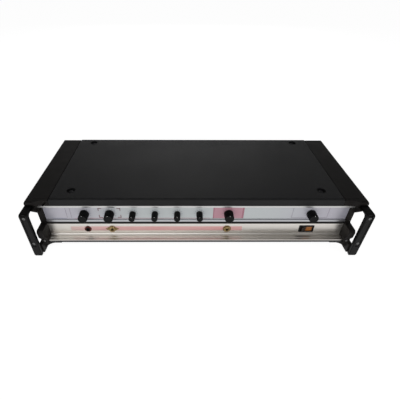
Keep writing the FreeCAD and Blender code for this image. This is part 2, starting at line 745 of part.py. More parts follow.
# ---------------------------------------------------------------- power switch
housing = keep(body("switch_housing"))
window = rectangle("switch_x - window_wide / 2", "switch_x + window_wide / 2",
                   "socket_z - window_tall / 2", "socket_z + window_tall / 2")
add(housing, "y", "face_front - 1.6", "face_front", [
    rectangle("switch_x - switch_wide / 2", "switch_x + switch_wide / 2",
              "socket_z - switch_tall / 2", "socket_z + switch_tall / 2"), window])
add(housing, "y", "face_front", "pivot_y + 20", [
    rectangle("switch_x - window_wide / 2 - 0.9", "switch_x + window_wide / 2 + 0.9",
              "socket_z - window_tall / 2 - 0.7", "socket_z + window_tall / 2 + 0.7"), window])
add(housing, "y", "pivot_y + 18", "pivot_y + 20", [
    rectangle("switch_x - window_wide / 2", "switch_x + window_wide / 2",
              "socket_z - window_tall / 2", "socket_z + window_tall / 2")])
remove(housing, "z", "socket_z - window_tall / 2 - 0.7", "socket_z + window_tall / 2 + 0.7",
       circles=[("switch_x", "pivot_y", "pin_radius")])

pin = keep(rod("rocker_pin", "z", "socket_z - window_tall / 2 - 0.7", "socket_z + window_tall / 2 + 0.7",
               ("switch_x", "pivot_y"), "pin_radius"))


def turned(u, v):
    """A point of the rocker, turned about its pin by half the throw."""
    return (f"switch_x + ({u}) * cos(rocker_throw / 2) - ({v}) * sin(rocker_throw / 2)",
            f"pivot_y + ({u}) * sin(rocker_throw / 2) + ({v}) * cos(rocker_throw / 2)")


rocker = keep(body("power_rocker"))
add(rocker, "z", "socket_z - rocker_tall / 2", "socket_z + rocker_tall / 2", [[
    turned("-rocker_wide / 2", "-7.2"), turned("0", "-5.6"), turned("rocker_wide / 2", "-7.2"),
    turned("rocker_wide / 2", "-1"), turned("4", "5"), turned("-4", "5"), turned("-rocker_wide / 2", "-1")]],
    [("switch_x", "pivot_y", "pin_radius + fit / 4")])
lamp = keep(rod("rocker_lamp", "y", "pivot_y + 8", "pivot_y + 18", ("switch_x + 6", "socket_z"), "2.2"))

# ---------------------------------------------------------------- rear panel and its fittings
INLET_X = "master_x"
FUSE_X = "master_x - 48"
OUTLET_XS = ["level_x - 30", "level_x + 10"]
outlet_holes = [(x, "rear_z", "jack_radius + fit / 4") for x in OUTLET_XS]
fuse_hole = (FUSE_X, "rear_z", "fuse_radius")
inlet_hole = rectangle(f"{INLET_X} - inlet_wide / 2", f"{INLET_X} + inlet_wide / 2",
                       f"rear_z - inlet_tall / 2", f"rear_z + inlet_tall / 2")
SINK_BOLTS = [(f"sink_x + ({side}) * sink_wide * 0.4", z) for side in (-1, 1)
              for z in ("sink_low + sink_bolt", "sink_high - sink_bolt")]
back = keep(body("rear_panel"))
add(back, "y", "rear_front", "rear_back", [
    rectangle("-plate_half", "plate_half", "tray_top", "flange_top - 0.5"), inlet_hole],
    outlet_holes + [fuse_hole])
add(back, "x", "-cover_half + 1", "cover_half - 1", [[
    ("rear_front", "flange_top - 0.5"), ("rear_front", "cover_top - cover_sheet"),
    ("rear - cover_sheet", "cover_top - cover_sheet"), ("rear - cover_sheet", "cover_top - rear_lip"),
    ("rear - cover_sheet - plate_sheet", "cover_top - rear_lip"),
    ("rear - cover_sheet - plate_sheet", "cover_top - cover_sheet - plate_sheet"),
    ("rear_back", "cover_top - cover_sheet - plate_sheet"), ("rear_back", "flange_top - 0.5")]])
remove(back, "z", "flange_top", "cover_top - cover_sheet",
       circles=[(x, y, "cup_radius + cup_wall + fit") for x, y in BACK_CUPS])
for x, y in BACK_CUPS:
    add(back, "z", "flange_top - plate_sheet", "flange_top", [
        rectangle(f"{x} - 12", f"{x} + 12", f"{y} - 8", "rear_front")], [(x, y, "screw_radius")])
remove(back, "y", "rear - cover_sheet - plate_sheet", "rear - cover_sheet",
       circles=[(x, "cover_top - rear_lip / 2", "screw_radius") for x in REAR_SCREWS])
remove(back, "y", "rear_front", "rear_back", circles=[(x, z, "screw_radius") for x, z in SINK_BOLTS])

outlets = []
for x in OUTLET_XS:
    spot = (x, "rear_z")
    case = block("case", f"{x} - jack_body / 2", f"{x} + jack_body / 2",
                 "rear_front - jack_deep", "rear_front",
                 "rear_z - jack_body / 2", "rear_z + jack_body / 2")
    bush = rod("bush", "y", "rear_front", "rear_back + jack_out", spot, "jack_radius")
    bore = rod("bore", "y", "rear_front - jack_deep + 2", "rear_back + jack_out", spot, "plug_radius")
    outlets.append(cut("outlet", join("shell", case, bush), bore))
    jack_nuts.append(cut("nut", hexagon("hexagon", "y", "rear_back", "rear_back + 2", spot, "jack_nut"),
                           rod("hole", "y", "rear_back", "rear_back + 2", spot, "jack_radius")))
keep(group("speaker_jacks", outlets))
keep(group("jack_nuts", jack_nuts))

inlet = body("inlet_shell")
flange = rectangle(f"{INLET_X} - inlet_wide / 2 - 9", f"{INLET_X} + inlet_wide / 2 + 9",
                   f"rear_z - inlet_tall / 2 - 3", f"rear_z + inlet_tall / 2 + 3")
throat = rectangle(f"{INLET_X} - inlet_wide / 2 + 2", f"{INLET_X} + inlet_wide / 2 - 2",
                   f"rear_z - inlet_tall / 2 + 2", f"rear_z + inlet_tall / 2 - 2")
add(inlet, "y", "rear_back", "rear_back + 2.5", [flange])
add(inlet, "y", "rear_front - 18", "rear_back", [rectangle(
    f"{INLET_X} - inlet_wide / 2 + fit", f"{INLET_X} + inlet_wide / 2 - fit",
    f"rear_z - inlet_tall / 2 + fit", f"rear_z + inlet_tall / 2 - fit")])
remove(inlet, "y", "rear_back - inlet_deep", "rear_back + 2.5", [throat])
pins = [inlet]
for x, z in ((f"{INLET_X} - 7", "rear_z - 2"), (INLET_X, "rear_z + 2"), (f"{INLET_X} + 7", "rear_z - 2")):
    pins.append(block("pin", f"{x} - 1", f"{x} + 1", "rear_back - inlet_deep", "rear_back - 3",
                      f"{z} - 2", f"{z} + 2"))
keep(group("mains_inlet", pins))

spot = (FUSE_X, "rear_z")
barrel = rod("barrel", "y", "rear_front - 28", "rear_back", spot, "fuse_radius")
collar = rod("collar", "y", "rear_back", "rear_back + 1.5", spot, "fuse_radius + 2")
holder = cut("holder", join("shell", barrel, collar),
             rod("bore", "y", "rear_front - 26", "rear_back + 1.5", spot, "fuse_radius - 2"))
fuse = rod("fuse", "y", "rear_front - 26", "rear_back - 6", spot, "2.5")
keep(group("fuse_holder", [holder, fuse]))
keep(join("fuse_cap", rod("stem", "y", "rear_back - 6", "rear_back + 1.5", spot, "fuse_radius - 2.2"),
          rod("cap", "y", "rear_back + 1.5", "rear_back + 8", spot, "fuse_radius + 1")))

# ---------------------------------------------------------------- heatsink and output transistors
sink = keep(body("heatsink"))
low, high = "sink_x - sink_wide / 2", "sink_x + sink_wide / 2"
add(sink, "y", "rear_back", "rear_back + sink_plate", [rectangle(low, high, "sink_low", "sink_high")])
fins = []
for i in range(SIZES["fin_count"]):
    start = f"{low} + {i} * (sink_wide - fin_thick) / (fin_count - 1)"
    fins.append(rectangle(start, f"{start} + fin_thick", "sink_low", "sink_high"))
add(sink, "y", "rear_back + sink_plate", "rear - cover_sheet - 1", fins)
remove(sink, "y", "rear_back", "rear_back + sink_plate",
       circles=[(x, z, "screw_radius") for x, z in SINK_BOLTS])
for x, z in SINK_BOLTS:
    chassis_screws.append(pan_screw("sink_bolt", "y", "rear_front", (x, z), "plate_sheet + sink_plate", -1))
transistors = []
for i in range(4):
    x = f"sink_x + ({i} - 1.5) * sink_wide / 5"
    base = rod("base", "y", "rear_front - 1.6", "rear_front", (x, "transistor_z"), "12.5")
    top = rod("top", "y", "rear_front - 8", "rear_front - 1.6", (x, "transistor_z"), "9.5")
    transistors.append(join("transistor", base, top))
keep(group("output_transistors", transistors))

# ---------------------------------------------------------------- mains transformer
core_x, core_y = "supply_x", "supply_y"
x0, x1 = f"{core_x} - core_wide / 2", f"{core_x} + core_wide / 2"
y0, y1 = f"{core_y} - core_deep / 2", f"{core_y} + core_deep / 2"
core = keep(body("transformer_core"))
add(core, "y", y0, y1, [
    rectangle(x0, x1, "tray_top", "tray_top + core_tall"),
    rectangle(f"{x0} + leg", f"{core_x} - leg", "tray_top + leg", "tray_top + core_tall - leg"),
    rectangle(f"{core_x} + leg", f"{x1} - leg", "tray_top + leg", "tray_top + core_tall - leg")])
winding = keep(body("transformer_winding"))
add(winding, "z", "tray_top + leg + 0.5", "tray_top + core_tall - leg - 0.5", [
    rectangle(f"{x0} + leg + 0.5", f"{x1} - leg - 0.5", f"{y0} - 12", f"{y1} + 12"),
    rectangle(f"{core_x} - leg - 0.3", f"{core_x} + leg + 0.3", f"{y0} - 0.3", f"{y1} + 0.3")])
clamp = keep(body("transformer_clamp"))
add(clamp, "y", f"{core_y} - 14", f"{core_y} + 14", [[
    (f"{x0} - 18", "tray_top"), (f"{x0} - 18", "tray_top + 1.5"), (f"{x0} - 1.5", "tray_top + 1.5"),
    (f"{x0} - 1.5", "tray_top + core_tall + 1.5"), (f"{x1} + 1.5", "tray_top + core_tall + 1.5"),
    (f"{x1} + 1.5", "tray_top + 1.5"), (f"{x1} + 18", "tray_top + 1.5"), (f"{x1} + 18", "tray_top"),
    (x1, "tray_top"), (x1, "tray_top + core_tall"), (x0, "tray_top + core_tall"), (x0, "tray_top")]])
clamp_spots = [(f"{x0} - 10", core_y), (f"{x1} + 10", core_y)]
remove(clamp, "z", "tray_top", "tray_top + 1.5", circles=[(x, y, "screw_radius") for x, y in clamp_spots])
remove(tray, "z", "underside", "tray_top", circles=[(x, y, "screw_radius") for x, y in clamp_spots])
for spot in clamp_spots:
    chassis_screws.append(pan_screw("clamp_bolt", "z", "tray_top + 1.5", spot, "tray_sheet + 1.5", 1))
keep(group("chassis_screws", chassis_screws))

# ---------------------------------------------------------------- reservoir capacitors and rectifier
cans, clips = [], []
for side in (-1, 1):
    spot = ("cans_x", f"supply_y + ({side}) * (can_radius + 5)")
    cans.append(rod("can", "z", "tray_top", "tray_top + can_tall", spot, "can_radius"))
    clips.append(cut("clip", rod("ring", "z", "tray_top", "tray_top + 14", spot, "can_radius + 2"),
                     rod("hole", "z", "tray_top", "tray_top + 14", spot, "can_radius")))
keep(group("reservoir_capacitors", cans))
keep(group("capacitor_clips", clips))
keep(block("bridge_rectifier", "cans_x - 14", "cans_x + 14", "rear_front - 60", "rear_front - 32",
           "tray_top", "tray_top + 10"))

# ---------------------------------------------------------------- circuit boards
keep(block("preamp_board", "gain_a_x - 14", "level_x + 16", "plate_back + pot_deep",
           "plate_back + pot_deep + board_thick", "knob_z - 20", "knob_z + 20"))
board_back = "plate_back + pot_deep + board_thick"
board_parts = []
for i in range(12):
    x = f"gain_a_x + {6 + 26 * i}"
    board_parts.append(rod("can", "y", board_back, f"{board_back} + {11 if i % 3 else 16}",
                           (x, f"knob_z + {9 - 4 * (i % 4)}"), "3.2"))
    board_parts.append(block("chip", f"{x} + 7", f"{x} + 16", board_back, f"{board_back} + 3.5",
                             "knob_z - 10", "knob_z - 4"))

posts = []
for x in ("power_x - 80", "power_x + 80"):
    for y in ("power_y - 42", "power_y + 42"):
        posts.append(rod("post", "z", "tray_top", "tray_top + post_tall", (x, y), "3"))
keep(group("board_posts", posts))
keep(block("power_board", "power_x - 90", "power_x + 90", "power_y - 52", "power_y + 52",
           "tray_top + post_tall", "tray_top + post_tall + board_thick"))
board_top = "tray_top + post_tall + board_thick"
for i in range(4):
    for j in range(3):
        x = f"power_x - 66 + {44 * i}"
        y = f"power_y - 30 + {28 * j}"
        if (i + j) % 2:
            board_parts.append(rod("can", "z", board_top, f"{board_top} + 20", (x, y), "6.3"))
        else:
            board_parts.append(block("resistor", f"{x} - 8", f"{x} + 8", f"{y} - 4", f"{y} + 4",
                              board_top, f"{board_top} + 8"))
keep(group("board_parts", board_parts))

# ---------------------------------------------------------------- checks and files
doc.recompute()
for item in doc.Objects:
    if "Invalid" in item.State or "Error" in item.State:
        raise RuntimeError(f"{item.Name} {item.Label} did not build: {item.State}")
labels = [item.Label for item in done]
if len(set(labels)) != len(labels):
    raise RuntimeError("two sub-parts share a name")
os.makedirs("parts", exist_ok=True)
for item in done:
    shape = item.Shape
    if shape.isNull() or not shape.isValid() or not shape.Solids:
        raise RuntimeError(f"{item.Label} has no valid solid")
    shape.exportStep(f"parts/{item.Label}.step")
    box = shape.BoundBox
    print(f"{item.Label:24s} {len(shape.Solids):3d} solids  {shape.Volume / 1000:9.2f} cm3"
          f"  {box.XMin:7.1f} {box.XMax:7.1f}  {box.YMin:7.1f} {box.YMax:7.1f}"
          f"  {box.ZMin:6.1f} {box.ZMax:6.1f}")
print(len(done), "sub-parts")
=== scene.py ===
# %% [markdown]
# # A guitar amplifier head, finished around its CAD frame
# The head is a wide, low steel case between two moulded end cheeks. The CAD model already
# holds every piece at its real size. What is missing is everything the eye reads as "made":
# rounded edges, grain, brushed metal, printed scales and the flutes of the knobs.
# First the frame is loaded and measured, because every place below comes from it.

# %% Load the frame
import json
import math

import bmesh
import bpy
import numpy as np
from mathutils import Matrix, Vector


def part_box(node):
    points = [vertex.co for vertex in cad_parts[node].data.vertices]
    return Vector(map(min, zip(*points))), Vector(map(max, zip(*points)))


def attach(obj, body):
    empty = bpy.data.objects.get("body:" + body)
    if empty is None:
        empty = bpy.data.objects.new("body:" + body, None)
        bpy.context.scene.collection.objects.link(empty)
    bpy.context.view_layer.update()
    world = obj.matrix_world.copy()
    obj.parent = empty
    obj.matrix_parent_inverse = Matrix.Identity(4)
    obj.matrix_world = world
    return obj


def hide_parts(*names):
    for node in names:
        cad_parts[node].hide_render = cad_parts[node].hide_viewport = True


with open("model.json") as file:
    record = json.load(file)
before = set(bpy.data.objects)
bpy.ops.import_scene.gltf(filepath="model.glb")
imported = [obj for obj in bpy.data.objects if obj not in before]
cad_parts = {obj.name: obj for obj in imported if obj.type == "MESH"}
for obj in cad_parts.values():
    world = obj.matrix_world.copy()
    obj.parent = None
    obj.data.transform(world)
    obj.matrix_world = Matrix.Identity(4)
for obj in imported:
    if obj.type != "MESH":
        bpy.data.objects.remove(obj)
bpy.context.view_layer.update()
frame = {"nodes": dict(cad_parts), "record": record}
MM = 0.001

# %% [markdown]
# ## The camera
# A camera is a place, three directions and a lens. It could be turned with three angles, but
# a matrix built from the directions themselves is easier to check: its columns are right, up
# and backwards. It stands above the front, looking down at the controls.

# %% Camera
EYE = Vector((-0.0325, -0.6280, 0.5259))
PITCH, YAW, ROLL = math.radians(37.92), math.radians(-0.544), math.radians(0.338)
LENS = 27.45
FRAMING_SHIFT = 0.040


def camera_matrix(eye, pitch, yaw, roll):
    """Columns right, up and backwards: level right turned by yaw, then both turned by roll."""
    level = Vector((math.cos(yaw), math.sin(yaw), 0))
    ahead = Vector((-math.sin(yaw) * math.cos(pitch), math.cos(yaw) * math.cos(pitch), -math.sin(pitch)))
    lift = level.cross(ahead)
    right = level * math.cos(roll) + lift * math.sin(roll)
    up = lift * math.cos(roll) - level * math.sin(roll)
    columns = Matrix((right, up, -ahead)).transposed()
    return Matrix.Translation(eye) @ columns.to_4x4()


lens = bpy.data.cameras.new("camera")
lens.lens = LENS
lens.shift_x = FRAMING_SHIFT
lens.clip_start, lens.clip_end = 0.01, 50
camera = bpy.data.objects.new("camera", lens)
camera.matrix_world = camera_matrix(EYE, PITCH, YAW, ROLL)
bpy.context.scene.collection.objects.link(camera)
bpy.context.scene.camera = camera
print("camera at", [round(v, 3) for v in EYE])

# %% [markdown]
# ## Light
# The studio is a white floor, three large area lights and a sky. Large lights make soft
# reflections, and on a black object the reflections are what shows its shape.


# %% Lights
def area_light(name, place, target, size, power):
    """A square light of the given side, facing a target."""
    data = bpy.data.lights.new(name, "AREA")
    data.size = size
    data.energy = power
    light = bpy.data.objects.new(name, data)
    light.location = place
    light.rotation_mode = "QUATERNION"
    light.rotation_quaternion = (Vector(target) - Vector(place)).to_track_quat("-Z", "Y")
    bpy.context.scene.collection.objects.link(light)


MIDDLE = (0, 0, 0.06)
LIGHTS = {
    "light_rear": ((0.0, 2.6, 1.25), 1.8, 9),
    "light_front": ((-0.5, -1.9, 1.1), 1.8, 17),
    "light_side": ((1.9, -0.6, 1.5), 1.4, 5),
}
for name, (place, size, power) in LIGHTS.items():
    area_light(name, place, MIDDLE, size, power)
print("lights", len(LIGHTS))

# %% [markdown]
# ## Sky
# The sky is bright at the horizon and dim overhead, so the cover stays dark while its edges
# still read. Its strength is one smooth step on the height of the direction looked along.


# %% Sky
def studio_sky(low, high, bright, dim):
    """Strength falls smoothly from bright to dim as the direction's height goes from low to high."""
    world = bpy.data.worlds.new("studio")
    world.use_nodes = True
    nodes, links = world.node_tree.nodes, world.node_tree.links
    direction = nodes.new("ShaderNodeTexCoord")
    parts = nodes.new("ShaderNodeSeparateXYZ")
    fall = nodes.new("ShaderNodeMapRange")
    fall.interpolation_type = "SMOOTHSTEP"
    for socket, value in zip((1, 2, 3, 4), (low, high, bright, dim)):
        fall.inputs[socket].default_value = value
    links.new(direction.outputs["Generated"], parts.inputs[0])
    links.new(parts.outputs[2], fall.inputs[0])
    links.new(fall.outputs[0], nodes["Background"].inputs["Strength"])
    nodes["Background"].inputs["Color"].default_value = (1, 1, 1, 1)
    bpy.context.scene.world = world


studio_sky(0.05, 0.42, 0.95, 0.14)
bpy.context.scene.view_settings.view_transform = "Standard"
print("sky", bpy.context.scene.world.name)

# %% [markdown]
# ## Shader arithmetic
# Node trees are hard to read as lists of links and easy to read as expressions. A Wire is one
# value in a tree, and adding or multiplying wires puts in the Math nodes.


# %% Wires
class Wire:
    """A value in a material's node tree. Arithmetic on it adds Math nodes."""

    def __init__(self, paint, socket):
        self.paint = paint
        self.socket = socket

    def math(self, operation, *values):
        """One Math node with these values in order."""
        return self.paint.node("ShaderNodeMath", {"operation": operation}, dict(enumerate(values)))

    def __add__(self, other):
        return self.math("ADD", self, other)

    def __sub__(self, other):
        return self.math("SUBTRACT", self, other)

    def __rsub__(self, other):
        return self.math("SUBTRACT", other, self)

    def __mul__(self, other):
        return self.math("MULTIPLY", self, other)

    def __abs__(self):
        return self.math("ABSOLUTE", self)

    __radd__ = __add__
    __rmul__ = __mul__


print("wires ready")

# %% [markdown]
# A Paint is one material. It knows its own tree and the coordinates of the object, and puts in
# any other node through a single method. Its few helpers are the patterns that every finish
# below is made of: clouds, cells, bands and a bump.


# %% Paints
class Paint:
    """One material: a Principled shader, the object's coordinates and a way to add nodes."""

    def __init__(self, name, colour, roughness, metallic=0.0, **constants):
        self.material = bpy.data.materials.new(name)
        self.material.use_nodes = True
        self.tree = self.material.node_tree
        self.shader = self.tree.nodes["Principled BSDF"]
        self.set("Base Color", (*colour, 1))
        self.set("Roughness", roughness)
        self.set("Metallic", metallic)
        for socket, constant in constants.items():
            self.set(socket.replace("_", " "), constant)
        self.place = self.node("ShaderNodeTexCoord", output="Object")
        self.x, self.y, self.z = (
            self.node("ShaderNodeSeparateXYZ", {}, {0: self.place}, output=i) for i in range(3))

    def node(self, kind, settings=None, inputs=None, output=0):
        """Any node: its settings first, then a value or link for each socket."""
        made = self.tree.nodes.new(kind)
        for name, setting in (settings or {}).items():
            setattr(made, name, setting)
        for key, wire in (inputs or {}).items():
            if isinstance(wire, Wire):
                self.tree.links.new(wire.socket, made.inputs[key])
            else:
                made.inputs[key].default_value = wire
        return Wire(self, made.outputs[output])

    def set(self, socket, value):
        """A number, a colour or a wire on the shader itself."""
        if isinstance(value, Wire):
            self.tree.links.new(value.socket, self.shader.inputs[socket])
        else:
            self.shader.inputs[socket].default_value = value

    def noise(self, scale, detail=3.0, stretch=(1, 1, 1)):
        """Cloudy noise from 0 to 1, with its cells drawn out where stretch is below 1."""
        spot = self.node("ShaderNodeVectorMath", {"operation": "MULTIPLY"}, {0: self.place, 1: stretch})
        return self.node("ShaderNodeTexNoise", {}, {"Vector": spot, "Scale": scale, "Detail": detail})

    def cells(self, scale):
        """Distance to the nearest border between Voronoi cells."""
        return self.node("ShaderNodeTexVoronoi", {"feature": "DISTANCE_TO_EDGE"},
                         {"Vector": self.place, "Scale": scale})

    def step(self, value, low, high):
        """Smooth step: 0 below low, 1 above high."""
        return self.node("ShaderNodeMapRange", {"interpolation_type": "SMOOTHSTEP"},
                         {0: value, 1: low, 2: high})

    def ramp(self, value, low, high):
        """Value from 0 to 1 drawn out from low to high."""
        return self.node("ShaderNodeMapRange", {}, {0: value, 3: low, 4: high})

    def band(self, value, low, high, soft):
        """1 between low and high, with soft edges."""
        rise = self.step(value, low - soft, low + soft)
        return rise * (1 - self.step(value, high - soft, high + soft))

    def mix(self, factor, first, second):
        """Two colours mixed by a wire or a number."""
        pair = {0: factor}
        for key, colour in ((6, first), (7, second)):
            pair[key] = colour if isinstance(colour, Wire) else (*colour, 1)
        return self.node("ShaderNodeMix", {"data_type": "RGBA"}, pair, output=2)

    def bump(self, height, depth, strength=1.0):
        """A Bump node on the shader: height from 0 to 1 stands for depth in metres."""
        self.set("Normal", self.node("ShaderNodeBump", {}, {
            "Strength": strength, "Distance": depth, "Height": height}))


print("paints ready")

# %% [markdown]
# ## The cover's leather grain
# The cover is steel with a thin black skin, grained like leather, so its highlight breaks up.
# A picture of leather would show its edges and repeat. Voronoi cells give the same creased
# borders at any size, and a little noise takes away their regular look.


# %% Leather-grained cover
def leather_black():
    """Cells about 2 mm across, softened by noise: grain is the cell border pressed in."""
    paint = Paint("leather_black", (0.006, 0.006, 0.0065), 0.46, Specular_IOR_Level=0.22)
    grain = paint.step(paint.cells(620), 0.0, 0.12) * 0.65 + paint.noise(900, 4) * 0.35
    worn = paint.step(paint.noise(9, 5), 0.35, 0.75)
    paint.set("Base Color", paint.mix(worn, (0.0036, 0.0036, 0.0041), (0.0075, 0.0075, 0.0085)))
    paint.set("Roughness", paint.ramp(grain, 0.60, 0.44) + worn * 0.06)
    paint.bump(grain, 0.00016, 0.7)
    return paint.material


leather = leather_black()
print(leather.name)

# %% [markdown]
# ## Moulded blacks
# The other blacks are mouldings, and they must not look alike. The cheeks are a little brown
# and pebbled, the handles and knobs are smoother, and the rubber is matt. One function
# makes them all, with a pebble size, a depth and a roughness for each. The black collar of one
# socket comes from it too, in dark red: a painted reflection of the red stripe round it.


# %% Moulded blacks
def moulded_black(name, colour, roughness, pebble, depth):
    """Plastic with the fine pebble of its mould, and rubbed patches that shine more."""
    paint = Paint(name, colour, roughness, Specular_IOR_Level=0.09)
    pebbles = paint.noise(pebble, 2)
    rubbed = paint.step(paint.noise(28, 4), 0.45, 0.7)
    lighter = tuple(c * 1.5 + 0.001 for c in colour)
    paint.set("Base Color", paint.mix(pebbles * 0.6 + rubbed * 0.3, colour, lighter))
    paint.set("Roughness", roughness - rubbed * 0.08 + pebbles * 0.08)
    paint.bump(pebbles, depth, 0.6)
    return paint.material


cheek_black = moulded_black("cheek_black", (0.0085, 0.0075, 0.0070), 0.46, 1500, 0.00010)
handle_black = moulded_black("handle_black", (0.003, 0.003, 0.0031), 0.26, 2200, 0.00005)
knob_black = moulded_black("knob_black", (0.0025, 0.0025, 0.0027), 0.40, 2600, 0.00003)
rubber_black = moulded_black("rubber_black", (0.014, 0.014, 0.014), 0.72, 1800, 0.00012)
socket_black = moulded_black("socket_black", (0.006, 0.006, 0.006), 0.24, 900, 0.00002)
# Painted reflection: the black collar of one socket nut is coloured dark red for the red stripe it
# reflects.
collar_red_reflection = moulded_black("collar_red_reflection", (0.075, 0.014, 0.012), 0.40, 1600, 0.00004)
print("mouldings", cheek_black.name, handle_black.name, knob_black.name, rubber_black.name)

# %% [markdown]
# ## Painted steel
# The tray and the rear panel are sprayed and baked. Paint like that has a faint orange peel and
# gathers a haze of dust, which is a lighter colour with more roughness in soft patches.


# %% Painted steel
def painted_steel(name, colour, roughness):
    """Stove enamel: a faint orange peel, and dust that settles as a slightly lighter haze."""
    paint = Paint(name, colour, roughness, Specular_IOR_Level=0.42)
    peel = paint.noise(700, 2)
    haze = paint.step(paint.noise(14, 5), 0.4, 0.8)
    dusty = tuple(c * 1.5 + 0.004 for c in colour)
    paint.set("Base Color", paint.mix(haze * 0.7, colour, dusty))
    paint.set("Roughness", roughness + haze * 0.1)
    paint.bump(peel, 0.00005, 0.5)
    return paint.material


enamel = painted_steel("black_enamel", (0.010, 0.010, 0.011), 0.38)
varnish = painted_steel("core_varnish", (0.045, 0.032, 0.024), 0.45)
print("painted", enamel.name, varnish.name)

# %% [markdown]
# ## Bare metals
# Metal shows how it was worked. Extruded and brushed aluminium has lines along its length,
# turned steel has rings round its axis and zinc plate has soft crystals. All of them are noise,
# drawn out along one direction, so one function serves them. In a dark colour it also gives
# the blackened zinc of the front plate and the black anodising of the heatsink.


# %% Brushed and plated metal
def brushed(name, colour, roughness, stretch, streak=0.35):
    """Noise drawn out along one axis: darker and rougher where a brush line is deep."""
    paint = Paint(name, colour, roughness, 1.0)
    lines = paint.noise(1400, 3, stretch)
    stain = paint.step(paint.noise(11, 4), 0.5, 0.85)
    darker = tuple(c * 0.72 for c in colour)
    paint.set("Base Color", paint.mix(lines * streak + stain * 0.18, colour, darker))
    paint.set("Roughness", roughness + lines * 0.14 + stain * 0.06)
    paint.bump(lines, 0.00002, 0.5)
    return paint


ALONG_X = (0.015, 1, 1)
zinc = brushed("zinc_plate", (0.52, 0.51, 0.48), 0.36, (0.4, 1, 0.4)).material
turned_steel = brushed("turned_steel", (0.55, 0.54, 0.52), 0.26, (1, 0.2, 1)).material
dark_screw = brushed("dark_screw", (0.075, 0.075, 0.08), 0.30, (1, 1, 1)).material
worn_screw = brushed("worn_screw", (0.17, 0.17, 0.17), 0.34, (1, 1, 1)).material
black_zinc = brushed("black_zinc", (0.035, 0.035, 0.037), 0.42, (0.4, 1, 0.4)).material
anodised = brushed("black_anodised", (0.030, 0.030, 0.033), 0.42, (1, 1, 0.03)).material
print("metals", zinc.name, turned_steel.name, anodised.name)

# %% [markdown]
# ## Old brass
# The socket nuts are plated brass that has aged: a brown film lies in the hollows, and yellow
# metal shows where it is rubbed. Noise is cut into film and metal by a smooth step.


# %% Old brass
def old_brass():
    """Plated brass: brown film in the hollows of the noise, yellow metal where it is rubbed."""
    paint = Paint("old_brass", (0.42, 0.30, 0.13), 0.26, 1.0)
    film = paint.step(paint.noise(420, 5), 0.30, 0.62)
    paint.set("Base Color", paint.mix(film, (0.56, 0.41, 0.20), (0.13, 0.085, 0.035)))
    paint.set("Roughness", paint.ramp(film, 0.20, 0.48))
    paint.bump(film, 0.00004, 0.5)
    return paint.material


brass = old_brass()
print(brass.name)

# %% [markdown]
# ## Places on the two panels
# The prints on the panels follow the knobs and sockets, so their places are measured from the
# CAD nodes before anything is painted. If the CAD changes, the prints move with it.

# %% Places on the panels
KNOBS = {name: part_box(name) for name in frame["nodes"] if "_knob" in name}
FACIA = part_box("facia_panel")
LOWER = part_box("lower_panel")


def centre(node):
    """The middle of a node's box."""
    low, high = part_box(node)
    return (low + high) / 2


LEVEL_X = centre("level_knob").x
GAIN_A_X = centre("gain_knob_a").x
GAIN_B_X = centre("gain_knob_b").x
MASTER_X = centre("master_knob").x
KNOB_Z = centre("level_knob").z
SOCKET_Z = centre("line_jack").z
BLOCK_HALF = 34 * MM
print("knobs", len(KNOBS), "level at", round(LEVEL_X, 4))

# %% [markdown]
# ## The facia
# The upper panel is a milky plastic facia with a sheet of pale film behind it: cool grey in the
# middle, lilac towards its ends, and dim in the last few centimetres, which is painted shade of the
# cheeks. A rose block with a deeper border stands behind the level knob. Each is a mask, worked
# out from the coordinates.


# %% Facia print
def facia_print():
    """Cool grey, lilac towards the ends, painted shade of the cheeks at the far ends; a rose block with a
    deeper border; a pale glow.
    """
    paint = Paint("facia_print", (0.48, 0.48, 0.52), 0.22, Coat_Weight=0.25, Coat_Roughness=0.08)
    ends = paint.step(abs(paint.x), 0.12, 0.30)
    ground = paint.mix(ends, (0.42, 0.45, 0.455), (0.39, 0.375, 0.43))
    # Painted shade: the last few centimetres at each end darken where the cheeks shade the facia.
    dim = paint.step(abs(paint.x), 0.295, 0.335)
    ground = paint.mix(dim * 0.75, ground, (0.15, 0.15, 0.18))
    inside = paint.band(paint.x, LEVEL_X - BLOCK_HALF, LEVEL_X + BLOCK_HALF, 0.0004)
    tall = paint.band(paint.z, FACIA[0].z + 2 * MM, FACIA[1].z - 1 * MM, 0.0003)
    core = paint.band(paint.x, LEVEL_X - BLOCK_HALF + 2.5 * MM, LEVEL_X + BLOCK_HALF - 4 * MM, 0.0004)
    rose = paint.mix(core, (0.27, 0.06, 0.10), (0.40, 0.17, 0.22))
    ground = paint.mix(inside * tall, ground, rose)
    cloud = paint.noise(35, 4)
    paint.set("Base Color", paint.mix(cloud * 0.2, ground, (0.52, 0.53, 0.56)))
    paint.set("Roughness", paint.ramp(paint.noise(260, 3), 0.16, 0.32))
    paint.bump(paint.noise(1300, 2), 0.00002, 0.3)
    return paint.material


facia_paint = facia_print()
print(facia_paint.name)

# %% [markdown]
# ## The trim round the facia
# One aluminium extrusion frames the facia. Its upper lip is bright, its lower lip is duller,
# and the last two millimetres are in the shade of the joint with the panel below. The three
# tones are steps on the height.


# %% Trim
def framed_trim():
    """Brushed aluminium above the facia, duller below it, and painted shade of the joint along the bottom
    edge.
    """
    paint = brushed("lip_aluminium", (0.60, 0.595, 0.59), 0.24, ALONG_X)
    lines = paint.noise(1400, 3, ALONG_X)
    bright = paint.mix(lines * 0.35, (0.60, 0.595, 0.59), (0.42, 0.415, 0.41))
    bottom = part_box("panel_trim")[0].z
    under = 1 - paint.step(paint.z, FACIA[0].z + 1 * MM, FACIA[0].z + 2 * MM)
    # Painted shade: the dark band along the bottom edge stands for the shadow in the joint with the panel
    # below.
    edge = 1 - paint.step(paint.z, bottom + 2.0 * MM, bottom + 2.6 * MM)
    dull = paint.mix(edge, (0.42, 0.425, 0.445), (0.035, 0.034, 0.033))
    paint.set("Base Color", paint.mix(under, bright, dull))
    return paint.material


